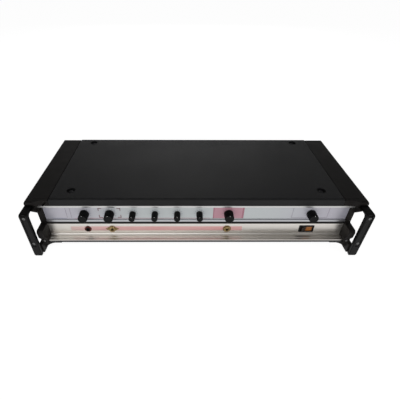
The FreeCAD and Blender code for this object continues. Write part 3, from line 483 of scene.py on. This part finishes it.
lip_aluminium = framed_trim()
print(lip_aluminium.name)

# %% [markdown]
# ## The lower panel
# The lower panel is bare aluminium, brushed along its length, with one long printed stripe.
# Ink isn't metal, so the stripe's mask also takes the metal away. The ink is weaker at the
# left end, and rubbed in soft patches.


# %% Lower panel
STRIPE_LEFT = GAIN_A_X - 38.5 * MM
STRIPE_RIGHT = LEVEL_X + 34.5 * MM
STRIPE_HALF = 6.2 * MM


def striped_aluminium():
    """Brushed aluminium whose print is a faded red stripe, weaker where it has rubbed."""
    base = (0.72, 0.69, 0.65)
    paint = brushed("striped_aluminium", base, 0.28, ALONG_X, 0.25)
    lines = paint.noise(1400, 3, ALONG_X)
    metal = paint.mix(lines * 0.35, base, (0.50, 0.475, 0.44))
    across = paint.band(paint.x, STRIPE_LEFT, STRIPE_RIGHT, 0.0006)
    height = SOCKET_Z + 1 * MM
    upright = paint.band(paint.z, height - STRIPE_HALF, height + STRIPE_HALF, 0.0003)
    ahead = paint.step(paint.y, LOWER[0].y + 16 * MM, LOWER[0].y + 17 * MM)
    rubbed = paint.ramp(paint.noise(16, 4), 0.55, 0.95)
    inked = across * upright * ahead * rubbed
    far = paint.step(paint.x, STRIPE_LEFT, STRIPE_LEFT + 90 * MM)
    red = paint.mix(far, (0.62, 0.40, 0.38), (0.64, 0.27, 0.27))
    paint.set("Base Color", paint.mix(inked, metal, red))
    paint.set("Metallic", 1 - inked * 0.75)
    return paint.material


panel_aluminium = striped_aluminium()
print("stripe is", round((STRIPE_RIGHT - STRIPE_LEFT) * 1000), "mm long")

# %% [markdown]
# ## The amber rocker and its lamp
# The rocker is a clear amber moulding over a small lamp. It glows a little over the lamp and is
# dark away from it, so colour and glow both fall off with the distance from the lamp. The
# fine ribs on its face are a sine of the place along it.


# %% Amber rocker
def amber_glow():
    """Clear amber: brightest over the lamp, falling off with the distance from it."""
    lamp = centre("rocker_lamp")
    paint = Paint("amber_rocker", (0.30, 0.10, 0.02), 0.18, Specular_IOR_Level=0.22, Coat_Weight=0.08,
                  Emission_Strength=0.05)
    reach = paint.step(abs(paint.x - lamp.x), 0.0095, 0.004)
    ribs = paint.node("ShaderNodeMath", {"operation": "SINE"}, {0: paint.x * 5200})
    paint.set("Base Color", paint.mix(reach, (0.012, 0.006, 0.004), (0.23, 0.078, 0.016)))
    paint.set("Emission Color", paint.mix(reach, (0.0, 0.0, 0.0), (1.0, 0.34, 0.05)))
    paint.set("Roughness", paint.ramp(paint.noise(500, 2), 0.14, 0.26))
    paint.bump(ribs, 0.00006, 0.4)
    return paint.material


def lamp_glass():
    """A neon lamp: an orange glow, paler in soft patches."""
    paint = Paint("lamp_glass", (1.0, 0.5, 0.2), 0.1, Emission_Strength=2.0)
    flicker = paint.noise(700, 2)
    paint.set("Emission Color", paint.mix(flicker, (1.0, 0.30, 0.06), (1.0, 0.6, 0.25)))
    return paint.material


amber = amber_glow()
neon = lamp_glass()
print(amber.name, neon.name)

# %% [markdown]
# ## Inks
# Screen-printed ink is nearly flat and a little broken where it has worn, so each ink is one
# colour and a slightly greyer one, mixed by fine noise.


# %% Inks
def ink(name, colour):
    """Screen-printed ink: nearly flat, a little greyer where it has worn."""
    paint = Paint(name, colour, 0.55)
    worn = paint.noise(1600, 3)
    paint.set("Base Color", paint.mix(worn * 0.35, colour, tuple(0.7 * c + 0.1 for c in colour)))
    paint.set("Roughness", paint.ramp(worn, 0.45, 0.65))
    return paint.material


blue_ink = ink("blue_ink", (0.10, 0.13, 0.22))
red_ink = ink("red_ink", (0.10, 0.008, 0.016))
grey_ink = ink("grey_ink", (0.19, 0.17, 0.21))
pink_ink = ink("pink_ink", (0.42, 0.22, 0.26))
white_ink = ink("white_ink", (0.82, 0.82, 0.80))
print("inks", blue_ink.name, red_ink.name, grey_ink.name, pink_ink.name, white_ink.name)

# %% [markdown]
# ## Finishes of the power supply
# The inside pieces are seen only through the floor's slots, but each still gets the finish that
# it has on a bench: a winding bound in yellow tape, and cans in blue shrink sleeve with one
# pale stripe and a bare top.


# %% Winding and cans
def taped_winding():
    """Yellow tape wound in turns: a wave up the height darkens each overlap."""
    paint = Paint("taped_winding", (0.62, 0.42, 0.10), 0.42)
    turns = paint.node("ShaderNodeMath", {"operation": "SINE"}, {0: paint.z * 1400})
    lap = paint.step(turns, 0.55, 0.95)
    # Darker at each overlap of the tape, with a little noise mixed in.
    overlap_darkening = lap * 0.8 + paint.noise(90, 3) * 0.2
    paint.set("Base Color", paint.mix(overlap_darkening, (0.64, 0.44, 0.11), (0.26, 0.13, 0.03)))
    paint.set("Roughness", 0.34 + lap * 0.2)
    paint.bump(turns, 0.0002, 0.6)
    return paint.material


def sleeved_can():
    """A blue shrink sleeve with one pale stripe and a bare top."""
    low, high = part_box("reservoir_capacitors")
    paint = Paint("sleeved_can", (0.03, 0.07, 0.22), 0.3, Coat_Weight=0.3)
    stripe = paint.band(paint.x, low.x + 2 * MM, low.x + 7 * MM, 0.0004)
    top = paint.step(paint.z, high.z - 1.2 * MM, high.z - 0.6 * MM)
    sleeve = paint.mix(stripe, (0.03, 0.07, 0.22), (0.55, 0.58, 0.62))
    paint.set("Base Color", paint.mix(top, sleeve, (0.66, 0.66, 0.66)))
    paint.set("Metallic", top * 0.9)
    paint.set("Roughness", paint.ramp(paint.noise(300, 2), 0.24, 0.36))
    return paint.material


winding_tape, can_sleeve = taped_winding(), sleeved_can()
print(winding_tape.name, can_sleeve.name)

# %% [markdown]
# ## Finishes of the boards
# A board is green laminate with tinned tracks, and its parts come in several colours. The
# tracks follow the borders of coarse cells. The parts share one material, whose colour is
# picked by the place in steps, so that most parts have a single colour.


# %% Boards and film
def circuit_board():
    """Green laminate with tinned tracks where a coarse cell pattern runs thin."""
    paint = Paint("circuit_board", (0.03, 0.14, 0.06), 0.35)
    track = 1 - paint.step(paint.cells(95), 0.03, 0.05)
    paint.set("Base Color", paint.mix(track * 0.8, (0.028, 0.13, 0.055), (0.20, 0.36, 0.18)))
    paint.set("Roughness", 0.30 + track * 0.15)
    paint.bump(track, 0.00008, 0.5)
    return paint.material


def mixed_components():
    """Small parts in several colours: black, brown or blue, picked by the place."""
    paint = Paint("mixed_components", (0.05, 0.05, 0.06), 0.35)
    pick = paint.noise(31, 0)
    warm = paint.mix(paint.step(pick, 0.5, 0.52), (0.03, 0.03, 0.035), (0.32, 0.17, 0.05))
    paint.set("Base Color", paint.mix(paint.step(pick, 0.60, 0.62), warm, (0.05, 0.10, 0.26)))
    paint.set("Roughness", paint.ramp(paint.noise(600, 2), 0.28, 0.42))
    paint.bump(paint.noise(900, 2), 0.00005, 0.5)
    return paint.material


def pale_film():
    """The diffusing film behind the facia: warm white with faint fibres."""
    paint = Paint("pale_film", (0.75, 0.75, 0.70), 0.7)
    fibres = paint.noise(600, 4, (0.3, 1, 1))
    paint.set("Base Color", paint.mix(fibres, (0.80, 0.80, 0.76), (0.62, 0.62, 0.58)))
    paint.bump(fibres, 0.00005, 0.4)
    return paint.material


board_green, component_mix, film = circuit_board(), mixed_components(), pale_film()
print(board_green.name, component_mix.name, film.name)

# %% [markdown]
# ## Bodies and slots
# Every finished piece rides on the body of the CAD node that it stands for, and carries the
# material that it is given. The body is looked up in the record, by node.

# %% Bodies and slots
BODIES = frame["record"]["behaviour"]["bodies"]
BODY_OF = {node: body for body, nodes in BODIES.items() for node in nodes}


def finish_piece(piece, material, node, replaced=()):
    """Give a piece its material, its body and its slot, and hide the CAD nodes it stands for."""
    piece.data.materials.clear()
    piece.data.materials.append(material)
    if piece.name not in bpy.context.scene.collection.objects:
        bpy.context.scene.collection.objects.link(piece)
    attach(piece, BODY_OF[node])
    if replaced:
        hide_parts(*replaced)
    return piece


# %% [markdown]
# ## Rounding the edges of a CAD piece
# No real edge is sharp. A moulded or folded edge has a radius, and that radius is what
# catches the light. A CAD mesh arrives as loose triangles, so a copy is welded, its flat faces
# are made whole again, and a Bevel rounds every edge sharper than the limit. The copy stands
# for the CAD node and keeps its size: a bevel takes from outer corners and fills inner ones.

# %% Softened copies
WELD = 2e-6
FLAT_ANGLE = math.radians(0.6)
SHARP_ANGLE = math.radians(28)


def soften(node, width, material, segments):
    """A welded copy of a CAD piece with rounded edges, width in millimetres."""
    mesh = frame["nodes"][node].data.copy()
    shape = bmesh.new()
    shape.from_mesh(mesh)
    bmesh.ops.remove_doubles(shape, verts=shape.verts, dist=WELD)
    bmesh.ops.dissolve_limit(shape, angle_limit=FLAT_ANGLE, verts=shape.verts, edges=shape.edges)
    shape.to_mesh(mesh)
    shape.free()
    mesh.shade_smooth()
    piece = bpy.data.objects.new(node + "_finished", mesh)
    bevel = piece.modifiers.new("rounded edges", "BEVEL")
    bevel.width = width * MM
    bevel.segments = segments
    bevel.limit_method = "ANGLE"
    bevel.angle_limit = SHARP_ANGLE
    bevel.use_clamp_overlap = False
    bevel.miter_outer = "MITER_ARC"
    weighted = piece.modifiers.new("flat faces stay flat", "WEIGHTED_NORMAL")
    weighted.weight = 60
    return finish_piece(piece, material, node, [node])


print("bevel limit in degrees", round(math.degrees(SHARP_ANGLE)))

# %% [markdown]
# Each node is given a radius in millimetres, a finish and the number of steps in its bevel. A
# folded sheet has a small radius, a moulded strap a large one, and a piece that is seldom seen
# needs only one or two steps.

# %% Radius and finish of each node
SOFTENED = {
    # outside
    "top_cover": (0.4, leather, 2),
    "left_cheek": (1.0, cheek_black, 3), "right_cheek": (1.0, cheek_black, 3),
    "left_handle": (1.6, handle_black, 4), "right_handle": (1.6, handle_black, 4),
    "rubber_feet": (0.4, rubber_black, 2), "grip_strips": (0.35, rubber_black, 2),
    "chassis_tray": (0.3, enamel, 2),
    # panels
    "front_plate": (0.2, black_zinc, 1), "panel_trim": (0.45, lip_aluminium, 3),
    "lower_panel": (0.2, panel_aluminium, 2), "facia_panel": (0.15, facia_paint, 1),
    "switch_housing": (0.45, socket_black, 3), "power_rocker": (0.7, amber, 3),
    "jack_nuts": (0.3, brass, 2), "black_jack_nut": (0.3, collar_red_reflection, 2), "pot_nuts": (0.2, zinc, 1),
    "input_jack_a": (0.3, socket_black, 2), "input_jack_b": (0.3, brass, 2),
    "line_jack": (0.3, brass, 2),
    # rear
    "rear_panel": (0.25, enamel, 2), "heatsink": (0.4, anodised, 2), "mains_inlet": (0.4, socket_black, 2),
    "fuse_holder": (0.3, socket_black, 2), "fuse_cap": (0.5, socket_black, 3),
    "speaker_jacks": (0.3, socket_black, 2),
    # inside
    "transformer_clamp": (0.3, zinc, 2), "transformer_winding": (1.5, winding_tape, 3),
    "transformer_core": (0.3, varnish, 1), "reservoir_capacitors": (1.2, can_sleeve, 3),
    "bridge_rectifier": (0.6, enamel, 2), "output_transistors": (0.5, zinc, 2),
    "board_parts": (0.4, component_mix, 2), "potentiometers": (0.3, zinc, 2),
    "chassis_screws": (0.3, zinc, 2),
}
for node, (width, material, segments) in SOFTENED.items():
    soften(node, width, material, segments)
print("softened pieces", len(SOFTENED))

# %% [markdown]
# ## Plain nodes
# The pieces that are hidden, or are plain rods and sheets, keep their CAD mesh as it is. Such a
# node takes a finish in its material slots, and nothing else about it changes.

# %% Plain nodes
KEPT = {
    "facia_backlight": film, "rocker_lamp": neon, "rocker_pin": turned_steel, "capacitor_clips": zinc,
    "board_posts": turned_steel, "preamp_board": board_green, "power_board": board_green,
}
KEPT.update({node: turned_steel for node in frame["nodes"] if "_shaft" in node})
for node, material in KEPT.items():
    frame["nodes"][node].data.materials.clear()
    frame["nodes"][node].data.materials.append(material)
print("kept nodes", len(KEPT))

# %% [markdown]
# ## Surfaces on a grid
# Everything round is a grid: one parameter runs along a profile from the front pole to the
# back pole, the other runs round the axis. The function below takes a radius and a height for
# each grid point, and closes both poles with one point each.


# %% Lathe helper
def lathe(name, radius, height, axis_point, facing):
    """Grid of (profile, turn): each point is facing * height plus a circle of that radius.
    The first and last rows shrink to a pole."""
    rows, turns = radius.shape
    facing = np.array(facing, float)
    side = np.array([1.0, 0, 0]) if abs(facing[0]) < 0.5 else np.array([0, 1.0, 0])
    other = np.cross(facing, side)
    angle = np.arange(turns) * 2 * np.pi / turns
    around = np.cos(angle)[:, None] * side + np.sin(angle)[:, None] * other
    points = radius[..., None] * around[None] + height[..., None] * facing + np.array(axis_point)
    poles = points[[0, -1]].mean(1)
    vertices = np.concatenate([points[1:-1].reshape(-1, 3), poles])
    first = np.arange(rows - 3)[:, None] * turns + np.arange(turns)
    second = np.arange(rows - 3)[:, None] * turns + (np.arange(turns) + 1) % turns
    quads = np.stack([first, first + turns, second + turns, second], -1).reshape(-1, 4)
    top = np.full(turns, len(vertices) - 2)
    bottom = np.full(turns, len(vertices) - 1)
    ring = np.arange(turns)
    after = (ring + 1) % turns
    last = (rows - 3) * turns
    fan_top = np.stack([top, ring, after], -1)
    fan_bottom = np.stack([bottom, last + after, last + ring], -1)
    mesh = bpy.data.meshes.new(name)
    mesh.from_pydata(vertices.tolist(), [], quads.tolist() + fan_top.tolist() + fan_bottom.tolist())
    mesh.shade_smooth()
    mesh.set_sharp_from_angle(angle=math.radians(40))
    return bpy.data.objects.new(name, mesh)


print("lathe ready")

# %% [markdown]
# ## Profile of a knob
# Each knob is a fluted black moulding with a smooth collar at the back, a fluted grip and a
# glossy face that is pressed in a little. Its profile is a list of rows from the middle of the
# face, over the rim and the grip, to the back.

# %% Knob profile
POINTS_ROUND = 288
DISH_RIM = 1.016


def knob_profile(radius, length):
    """Rows from the face's middle to the back: share of the radius, distance from the back,
    and how strongly the flutes cut in."""
    face = [(0.00, 1.000, 0), (0.20, 0.998, 0), (0.45, 0.996, 0), (0.66, 0.994, 0), (0.70, 0.996, 0)]
    rim = [(0.735, 1.012, 0), (0.76, DISH_RIM, 0), (0.84, DISH_RIM, 0), (0.90, 1.010, 0),
           (0.935, 0.996, 0.3)]
    grip = [(0.955, 0.970, 0.8), (0.962, 0.93, 1), (0.965, 0.85, 1), (0.968, 0.70, 1), (0.972, 0.50, 1),
            (0.976, 0.34, 1), (0.978, 0.29, 0.8), (0.98, 0.265, 0.3)]
    collar = [(0.985, 0.25, 0), (0.998, 0.235, 0), (1.0, 0.21, 0), (1.0, 0.10, 0), (1.0, 0.03, 0),
              (0.985, 0.006, 0)]
    back = [(0.95, 0.0, 0), (0.80, 0.0, 0), (0.785, 0.02, 0), (0.78, 0.16, 0), (0.50, 0.17, 0),
            (0.0, 0.17, 0)]
    share, height, flute = np.array(face + rim + grip + collar + back).T
    return share * radius, height / DISH_RIM * length, flute


print("profile rows", len(knob_profile(1, 1)[0]))

# %% [markdown]
# ## Flutes
# The flutes are a cosine of the turn, raised to a power so that the ridges are broad and the
# grooves narrow. They fade out at both ends of the grip. A large knob has more of them.

# %% Fluted knobs
FLUTE_DEPTH = 0.09
FLUTES_LARGE, FLUTES_SMALL = 24, 18
LARGE_KNOB = 16 * MM


def knob(node, flutes):
    """One knob. Its radius is the profile's, less a dip between ridges: half a cosine of the turn,
    raised to a power that keeps the ridges broad."""
    low, high = KNOBS[node]
    radius = (high.x - low.x) / 2
    length = high.y - low.y
    share, height, flute = knob_profile(radius, length)
    turn = np.arange(POINTS_ROUND) * 2 * np.pi / POINTS_ROUND
    ridge = (0.5 + 0.5 * np.cos(turn * flutes)) ** 0.6
    dip = 1 - FLUTE_DEPTH * flute[:, None] * (1 - ridge)[None]
    middle = ((low.x + high.x) / 2, high.y, (low.z + high.z) / 2)
    round_radius = share[:, None] * dip
    tall = np.repeat(height[:, None], POINTS_ROUND, 1)
    piece = lathe(node + "_moulding", round_radius, tall, middle, (0, -1, 0))
    return finish_piece(piece, knob_black, node, [node])


for node, (low, high) in KNOBS.items():
    knob(node, FLUTES_LARGE if high.x - low.x > LARGE_KNOB else FLUTES_SMALL)

# %% [markdown]
# ## Flat prints
# Scales, brackets and pointers are ink a few hundredths of a millimetre thick. Each is a thin
# box whose four front corners are worked out for all marks at once. Real thickness keeps
# them from flickering against the panel, and keeps them in the exported mesh.


# %% Thin print
def thin_print(name, corners, front, proud, material, node):
    """Corners is (marks, 4, 2) in x and z, anticlockwise from the front; each mark becomes a box
    from front - proud to front."""
    corners = np.asarray(corners, float)
    marks = len(corners)
    depth = np.full((marks, 4, 1), front - proud)
    near = np.concatenate([corners[..., :1], depth, corners[..., 1:]], -1)
    far = near.copy()
    far[..., 1] = front
    vertices = np.concatenate([near, far], 1).reshape(-1, 3)
    box_faces = np.array([[0, 1, 2, 3], [7, 6, 5, 4], [0, 4, 5, 1],
                          [1, 5, 6, 2], [2, 6, 7, 3], [3, 7, 4, 0]])
    faces = (np.arange(marks)[:, None, None] * 8 + box_faces[None]).reshape(-1, 4)
    mesh = bpy.data.meshes.new(name)
    mesh.from_pydata(vertices.tolist(), [], faces.tolist())
    return finish_piece(bpy.data.objects.new(name, mesh), material, node)


def bars(x0, x1, z0, z1):
    """One rectangle, in the list form that thin_print takes."""
    return [[(x0, z0), (x1, z0), (x1, z1), (x0, z1)]]


def spokes(x, z, inner, outer, width, degrees):
    """Short radial bars round a knob, at angles counted clockwise from the top."""
    angle = np.radians(np.asarray(degrees, float))
    out = np.stack([np.sin(angle), np.cos(angle)], -1)
    side = np.stack([np.cos(angle), -np.sin(angle)], -1) * width / 2
    middle = np.array([x, z])
    corners = [middle + out * inner - side, middle + out * inner + side,
               middle + out * outer + side, middle + out * outer - side]
    return np.stack(corners, 1).tolist()


print("print helpers ready")

# %% [markdown]
# ## Dial scales
# Round each knob stand eleven plain ticks, 30 degrees apart, as far as 150 degrees either way
# from the top. They start just outside the knob, so large and small knobs share one rule.

# %% Dial scales
INK = 0.04 * MM
FACIA_FRONT = FACIA[0].y
SWEEP = np.arange(-150, 151, 30)
TICK_IN, TICK_OUT, TICK_WIDE = 1.6 * MM, 4.2 * MM, 0.6 * MM
scale_marks = []
for node, (low, high) in KNOBS.items():
    x, z, radius = (low.x + high.x) / 2, (low.z + high.z) / 2, (high.x - low.x) / 2
    scale_marks += spokes(x, z, radius + TICK_IN, radius + TICK_OUT, TICK_WIDE, SWEEP)
thin_print("dial_scales", scale_marks, FACIA_FRONT, INK, blue_ink, "facia_panel")
print("scale marks", len(scale_marks))

# %% [markdown]
# ## Brackets
# Four dark red corners frame the second gain knob. Each corner is one level bar and one upright
# bar, so the function walks over the two sides and the two heights.


# %% Brackets
def brackets(x, half, z0, z1, arm, width):
    """Four square corners round a knob."""
    marks = []
    for side in (-1, 1):
        edge = x + side * half
        inner = edge - side * arm
        for z, way in ((z0, 1), (z1, -1)):
            tip, end = sorted((edge, inner))
            marks += bars(tip, end, min(z, z + way * width), max(z, z + way * width))
            left, right = sorted((edge, edge - side * width))
            marks += bars(left, right, min(z, z + way * arm), max(z, z + way * arm))
    return marks


PANEL_LOW, PANEL_HIGH = FACIA[0].z + 4 * MM, FACIA[1].z - 2.6 * MM
BRACKET_HALF, BRACKET_ARM, BRACKET_WIDE = 24.5 * MM, 8 * MM, 1.6 * MM
corners = brackets(GAIN_B_X, BRACKET_HALF, PANEL_LOW, PANEL_HIGH, BRACKET_ARM, BRACKET_WIDE)
thin_print("gain_brackets", corners, FACIA_FRONT, INK, red_ink, "facia_panel")
print("bracket bars", len(corners))

# %% [markdown]
# ## Rules
# Thin grey rules divide the facia: two uprights left of the first gain knob, and a box open at
# the top round the master. A pink rule runs along the foot of the facia from the gain knobs
# towards the level knob, and a blue one lies left of it.

# %% Rules
UPRIGHT_WIDE, LEVEL_TALL = 1.1 * MM, 0.8 * MM
BOX_LEFT, BOX_RIGHT = MASTER_X - 41.5 * MM, MASTER_X + 37.5 * MM
FOOT = PANEL_LOW - 2 * MM
rules = []
for x in (GAIN_A_X - 40.5 * MM, GAIN_A_X - 31 * MM, BOX_LEFT, BOX_RIGHT):
    rules += bars(x, x + UPRIGHT_WIDE, PANEL_LOW, PANEL_HIGH)
rules += bars(BOX_LEFT, BOX_RIGHT, PANEL_LOW, PANEL_LOW + LEVEL_TALL)
base = bars(GAIN_A_X - BRACKET_HALF, LEVEL_X - 40 * MM, FOOT, FOOT + 1.1 * MM)
end = bars(FACIA[0].x + 14 * MM, GAIN_A_X - 41 * MM, FOOT, FOOT + 0.9 * MM)
thin_print("base_rule", base, FACIA_FRONT, INK, pink_ink, "facia_panel")
thin_print("panel_rules", rules, FACIA_FRONT, INK, grey_ink, "facia_panel")
thin_print("end_rule", end, FACIA_FRONT, INK, blue_ink, "facia_panel")
print("rules", len(rules + base + end))

# %% [markdown]
# ## Pointers
# A white line is let into the top of each knob's face, near its rim. It rides on the knob's
# own body, so it shows how far the knob is turned.


# %% Pointers
POINTER_IN, POINTER_OUT, POINTER_WIDE, POINTER_DEEP = 0.74, 0.93, 0.9 * MM, 0.35 * MM


def pointer(node):
    """A white line at the top of the face, in the outer quarter of its radius."""
    low, high = KNOBS[node]
    x, z, radius = (low.x + high.x) / 2, (low.z + high.z) / 2, (high.x - low.x) / 2
    line = spokes(x, z, radius * POINTER_IN, radius * POINTER_OUT, POINTER_WIDE, [0])
    thin_print(node + "_pointer", line, low.y + POINTER_DEEP, POINTER_DEEP, white_ink, node)


for node in KNOBS:
    pointer(node)
print("pointers", len(KNOBS))

# %% [markdown]
# ## Screw heads
# A machine screw's head is a shallow dome with a cross pressed into it. On a polar grid that
# is one formula: the dome's height, less a smooth cross-shaped well near the middle. The rest
# of the profile goes over the rim and down the shank, so that each screw is one closed shape.


# %% Cross-head screws
SCREW_TURNS = 96
HEAD_SHARES = np.array([0, 0.06, 0.12, 0.18, 0.24, 0.30, 0.36, 0.42, 0.48, 0.54, 0.60,
                        0.70, 0.80, 0.90, 0.96, 1.0])
RIM_FALL = 0.55
UNDER_HEAD = np.array([(1.0, 0.1125, 0), (0.97, 0, 0), (0.5, 0, 0), (0.5, 0, 0),
                       (0.5, 0, 5 / 6), (0.42, 0, 1), (0, 0, 1)])
SLOT_HALF, SLOT_REACH, SLOT_DEEP = 0.13, 0.60, 0.8


def slot(across, along):
    """1 within the slot's width and length, sloping to 0 just outside them."""
    return np.clip((SLOT_HALF - across) / 0.05, 0, 1) * np.clip((SLOT_REACH - along) / 0.08, 0, 1)


def screw(name, place, facing, radius, rise, length, material, node):
    """Head height is rise * (1 - fall * share squared), less two crossed slots. Under the head each
    row gives a share of the radius, of the rise and of the length."""
    angle = np.arange(SCREW_TURNS) * 2 * np.pi / SCREW_TURNS
    across = np.abs(HEAD_SHARES[:, None] * np.cos(angle)[None])
    along = np.abs(HEAD_SHARES[:, None] * np.sin(angle)[None])
    cross = np.maximum(slot(across, along), slot(along, across))
    head = rise * (1 - RIM_FALL * HEAD_SHARES ** 2)[:, None] - cross * rise * SLOT_DEEP
    below = UNDER_HEAD[:, 1] * rise - UNDER_HEAD[:, 2] * length
    height = np.concatenate([head, np.repeat(below[:, None], SCREW_TURNS, 1)])
    shares = np.concatenate([HEAD_SHARES, UNDER_HEAD[:, 0]])
    radii = np.repeat((shares * radius)[:, None], SCREW_TURNS, 1)
    return finish_piece(lathe(name, radii, height, place, facing), material, node)


print("rows of a screw", len(HEAD_SHARES) + len(UNDER_HEAD))

# %% [markdown]
# ## The screws in their places
# The CAD keeps all the screws of one kind in one node. To stand a finished screw on each, the
# node's separate solids are found by letting every point take the lowest label along its
# edges until no label changes. The points that share a label are one screw.


# %% Separate solids
def loose_parts(node):
    """The boxes of a node's separate solids, from its welded copy."""
    shape = bmesh.new()
    shape.from_mesh(frame["nodes"][node].data)
    bmesh.ops.remove_doubles(shape, verts=shape.verts, dist=WELD)
    shape.verts.index_update()
    points = np.array([vertex.co for vertex in shape.verts])
    start, end = np.array([[vertex.index for vertex in edge.verts] for edge in shape.edges]).T
    shape.free()
    label, previous = np.arange(len(points)), None
    while not np.array_equal(label, previous):
        previous = label.copy()
        lowest = np.minimum(label[start], label[end])
        np.minimum.at(label, start, lowest)
        np.minimum.at(label, end, lowest)
    parts = [points[label == i] for i in np.unique(label)]
    return [(part.min(0), part.max(0)) for part in parts]


cover_boxes, grip_boxes = loose_parts("cover_screws"), loose_parts("grip_screws")
print("screws", len(cover_boxes), len(grip_boxes))

# %% [markdown]
# The cover's top screws stand in cups and face up, its other screws face the back, and the grip
# screws face the front. Each kind has its own head radius, rise and shank.

# %% Screws
CUP_HEAD, CUP_RISE, CUP_SHANK = 4 * MM, 2.4 * MM, 10 * MM
LIP_HEAD, LIP_RISE, LIP_SHANK = 2.2 * MM, 1.5 * MM, 6 * MM
GRIP_HEAD, GRIP_RISE, GRIP_SHANK = 3 * MM, 1.2 * MM, 5 * MM
for i, (low, high) in enumerate(cover_boxes):
    x, y, z = (low + high) / 2
    if high[2] - low[2] > high[1] - low[1]:
        screw(f"cover_screw_{i}", (x, y, high[2] - CUP_RISE), (0, 0, 1), CUP_HEAD, CUP_RISE, CUP_SHANK,
              dark_screw, "cover_screws")
    else:
        screw(f"cover_screw_{i}", (x, high[1] - LIP_RISE, z), (0, 1, 0), LIP_HEAD, LIP_RISE, LIP_SHANK,
              dark_screw, "cover_screws")
for i, (low, high) in enumerate(grip_boxes):
    x, y, z = (low + high) / 2
    screw(f"grip_screw_{i}", (x, low[1] + GRIP_RISE, z), (0, -1, 0), GRIP_HEAD, GRIP_RISE, GRIP_SHANK,
          worn_screw, "grip_screws")
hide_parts("cover_screws")
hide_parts("grip_screws")

# %% [markdown]
# ## The floor
# The object stands on a plain white sheet, which gives off a little light of its own, so that it
# stays white to the horizon. It isn't part of the object. It sits a hair under the feet, so that
# the two never share a plane.


# %% Floor
HAIR = 0.2 * MM


def floor_sheet(reach):
    """A square in the floor's plane, with a faint paper tooth."""
    corners = np.array([(-1, -1, 0), (1, -1, 0), (1, 1, 0), (-1, 1, 0)], float) * reach
    corners[:, 2] = -HAIR
    mesh = bpy.data.meshes.new("floor")
    mesh.from_pydata(corners.tolist(), [], [(0, 1, 2, 3)])
    floor = bpy.data.objects.new("floor", mesh)
    paint = Paint("floor_paper", (0.25, 0.25, 0.25), 0.9, Specular_IOR_Level=0.0,
                  Emission_Color=(1, 1, 1, 1), Emission_Strength=0.93)
    paint.set("Base Color", paint.mix(paint.noise(6, 3), (0.24, 0.24, 0.24), (0.27, 0.27, 0.27)))
    mesh.materials.append(paint.material)
    bpy.context.scene.collection.objects.link(floor)


floor_sheet(12)
print("floor ready")
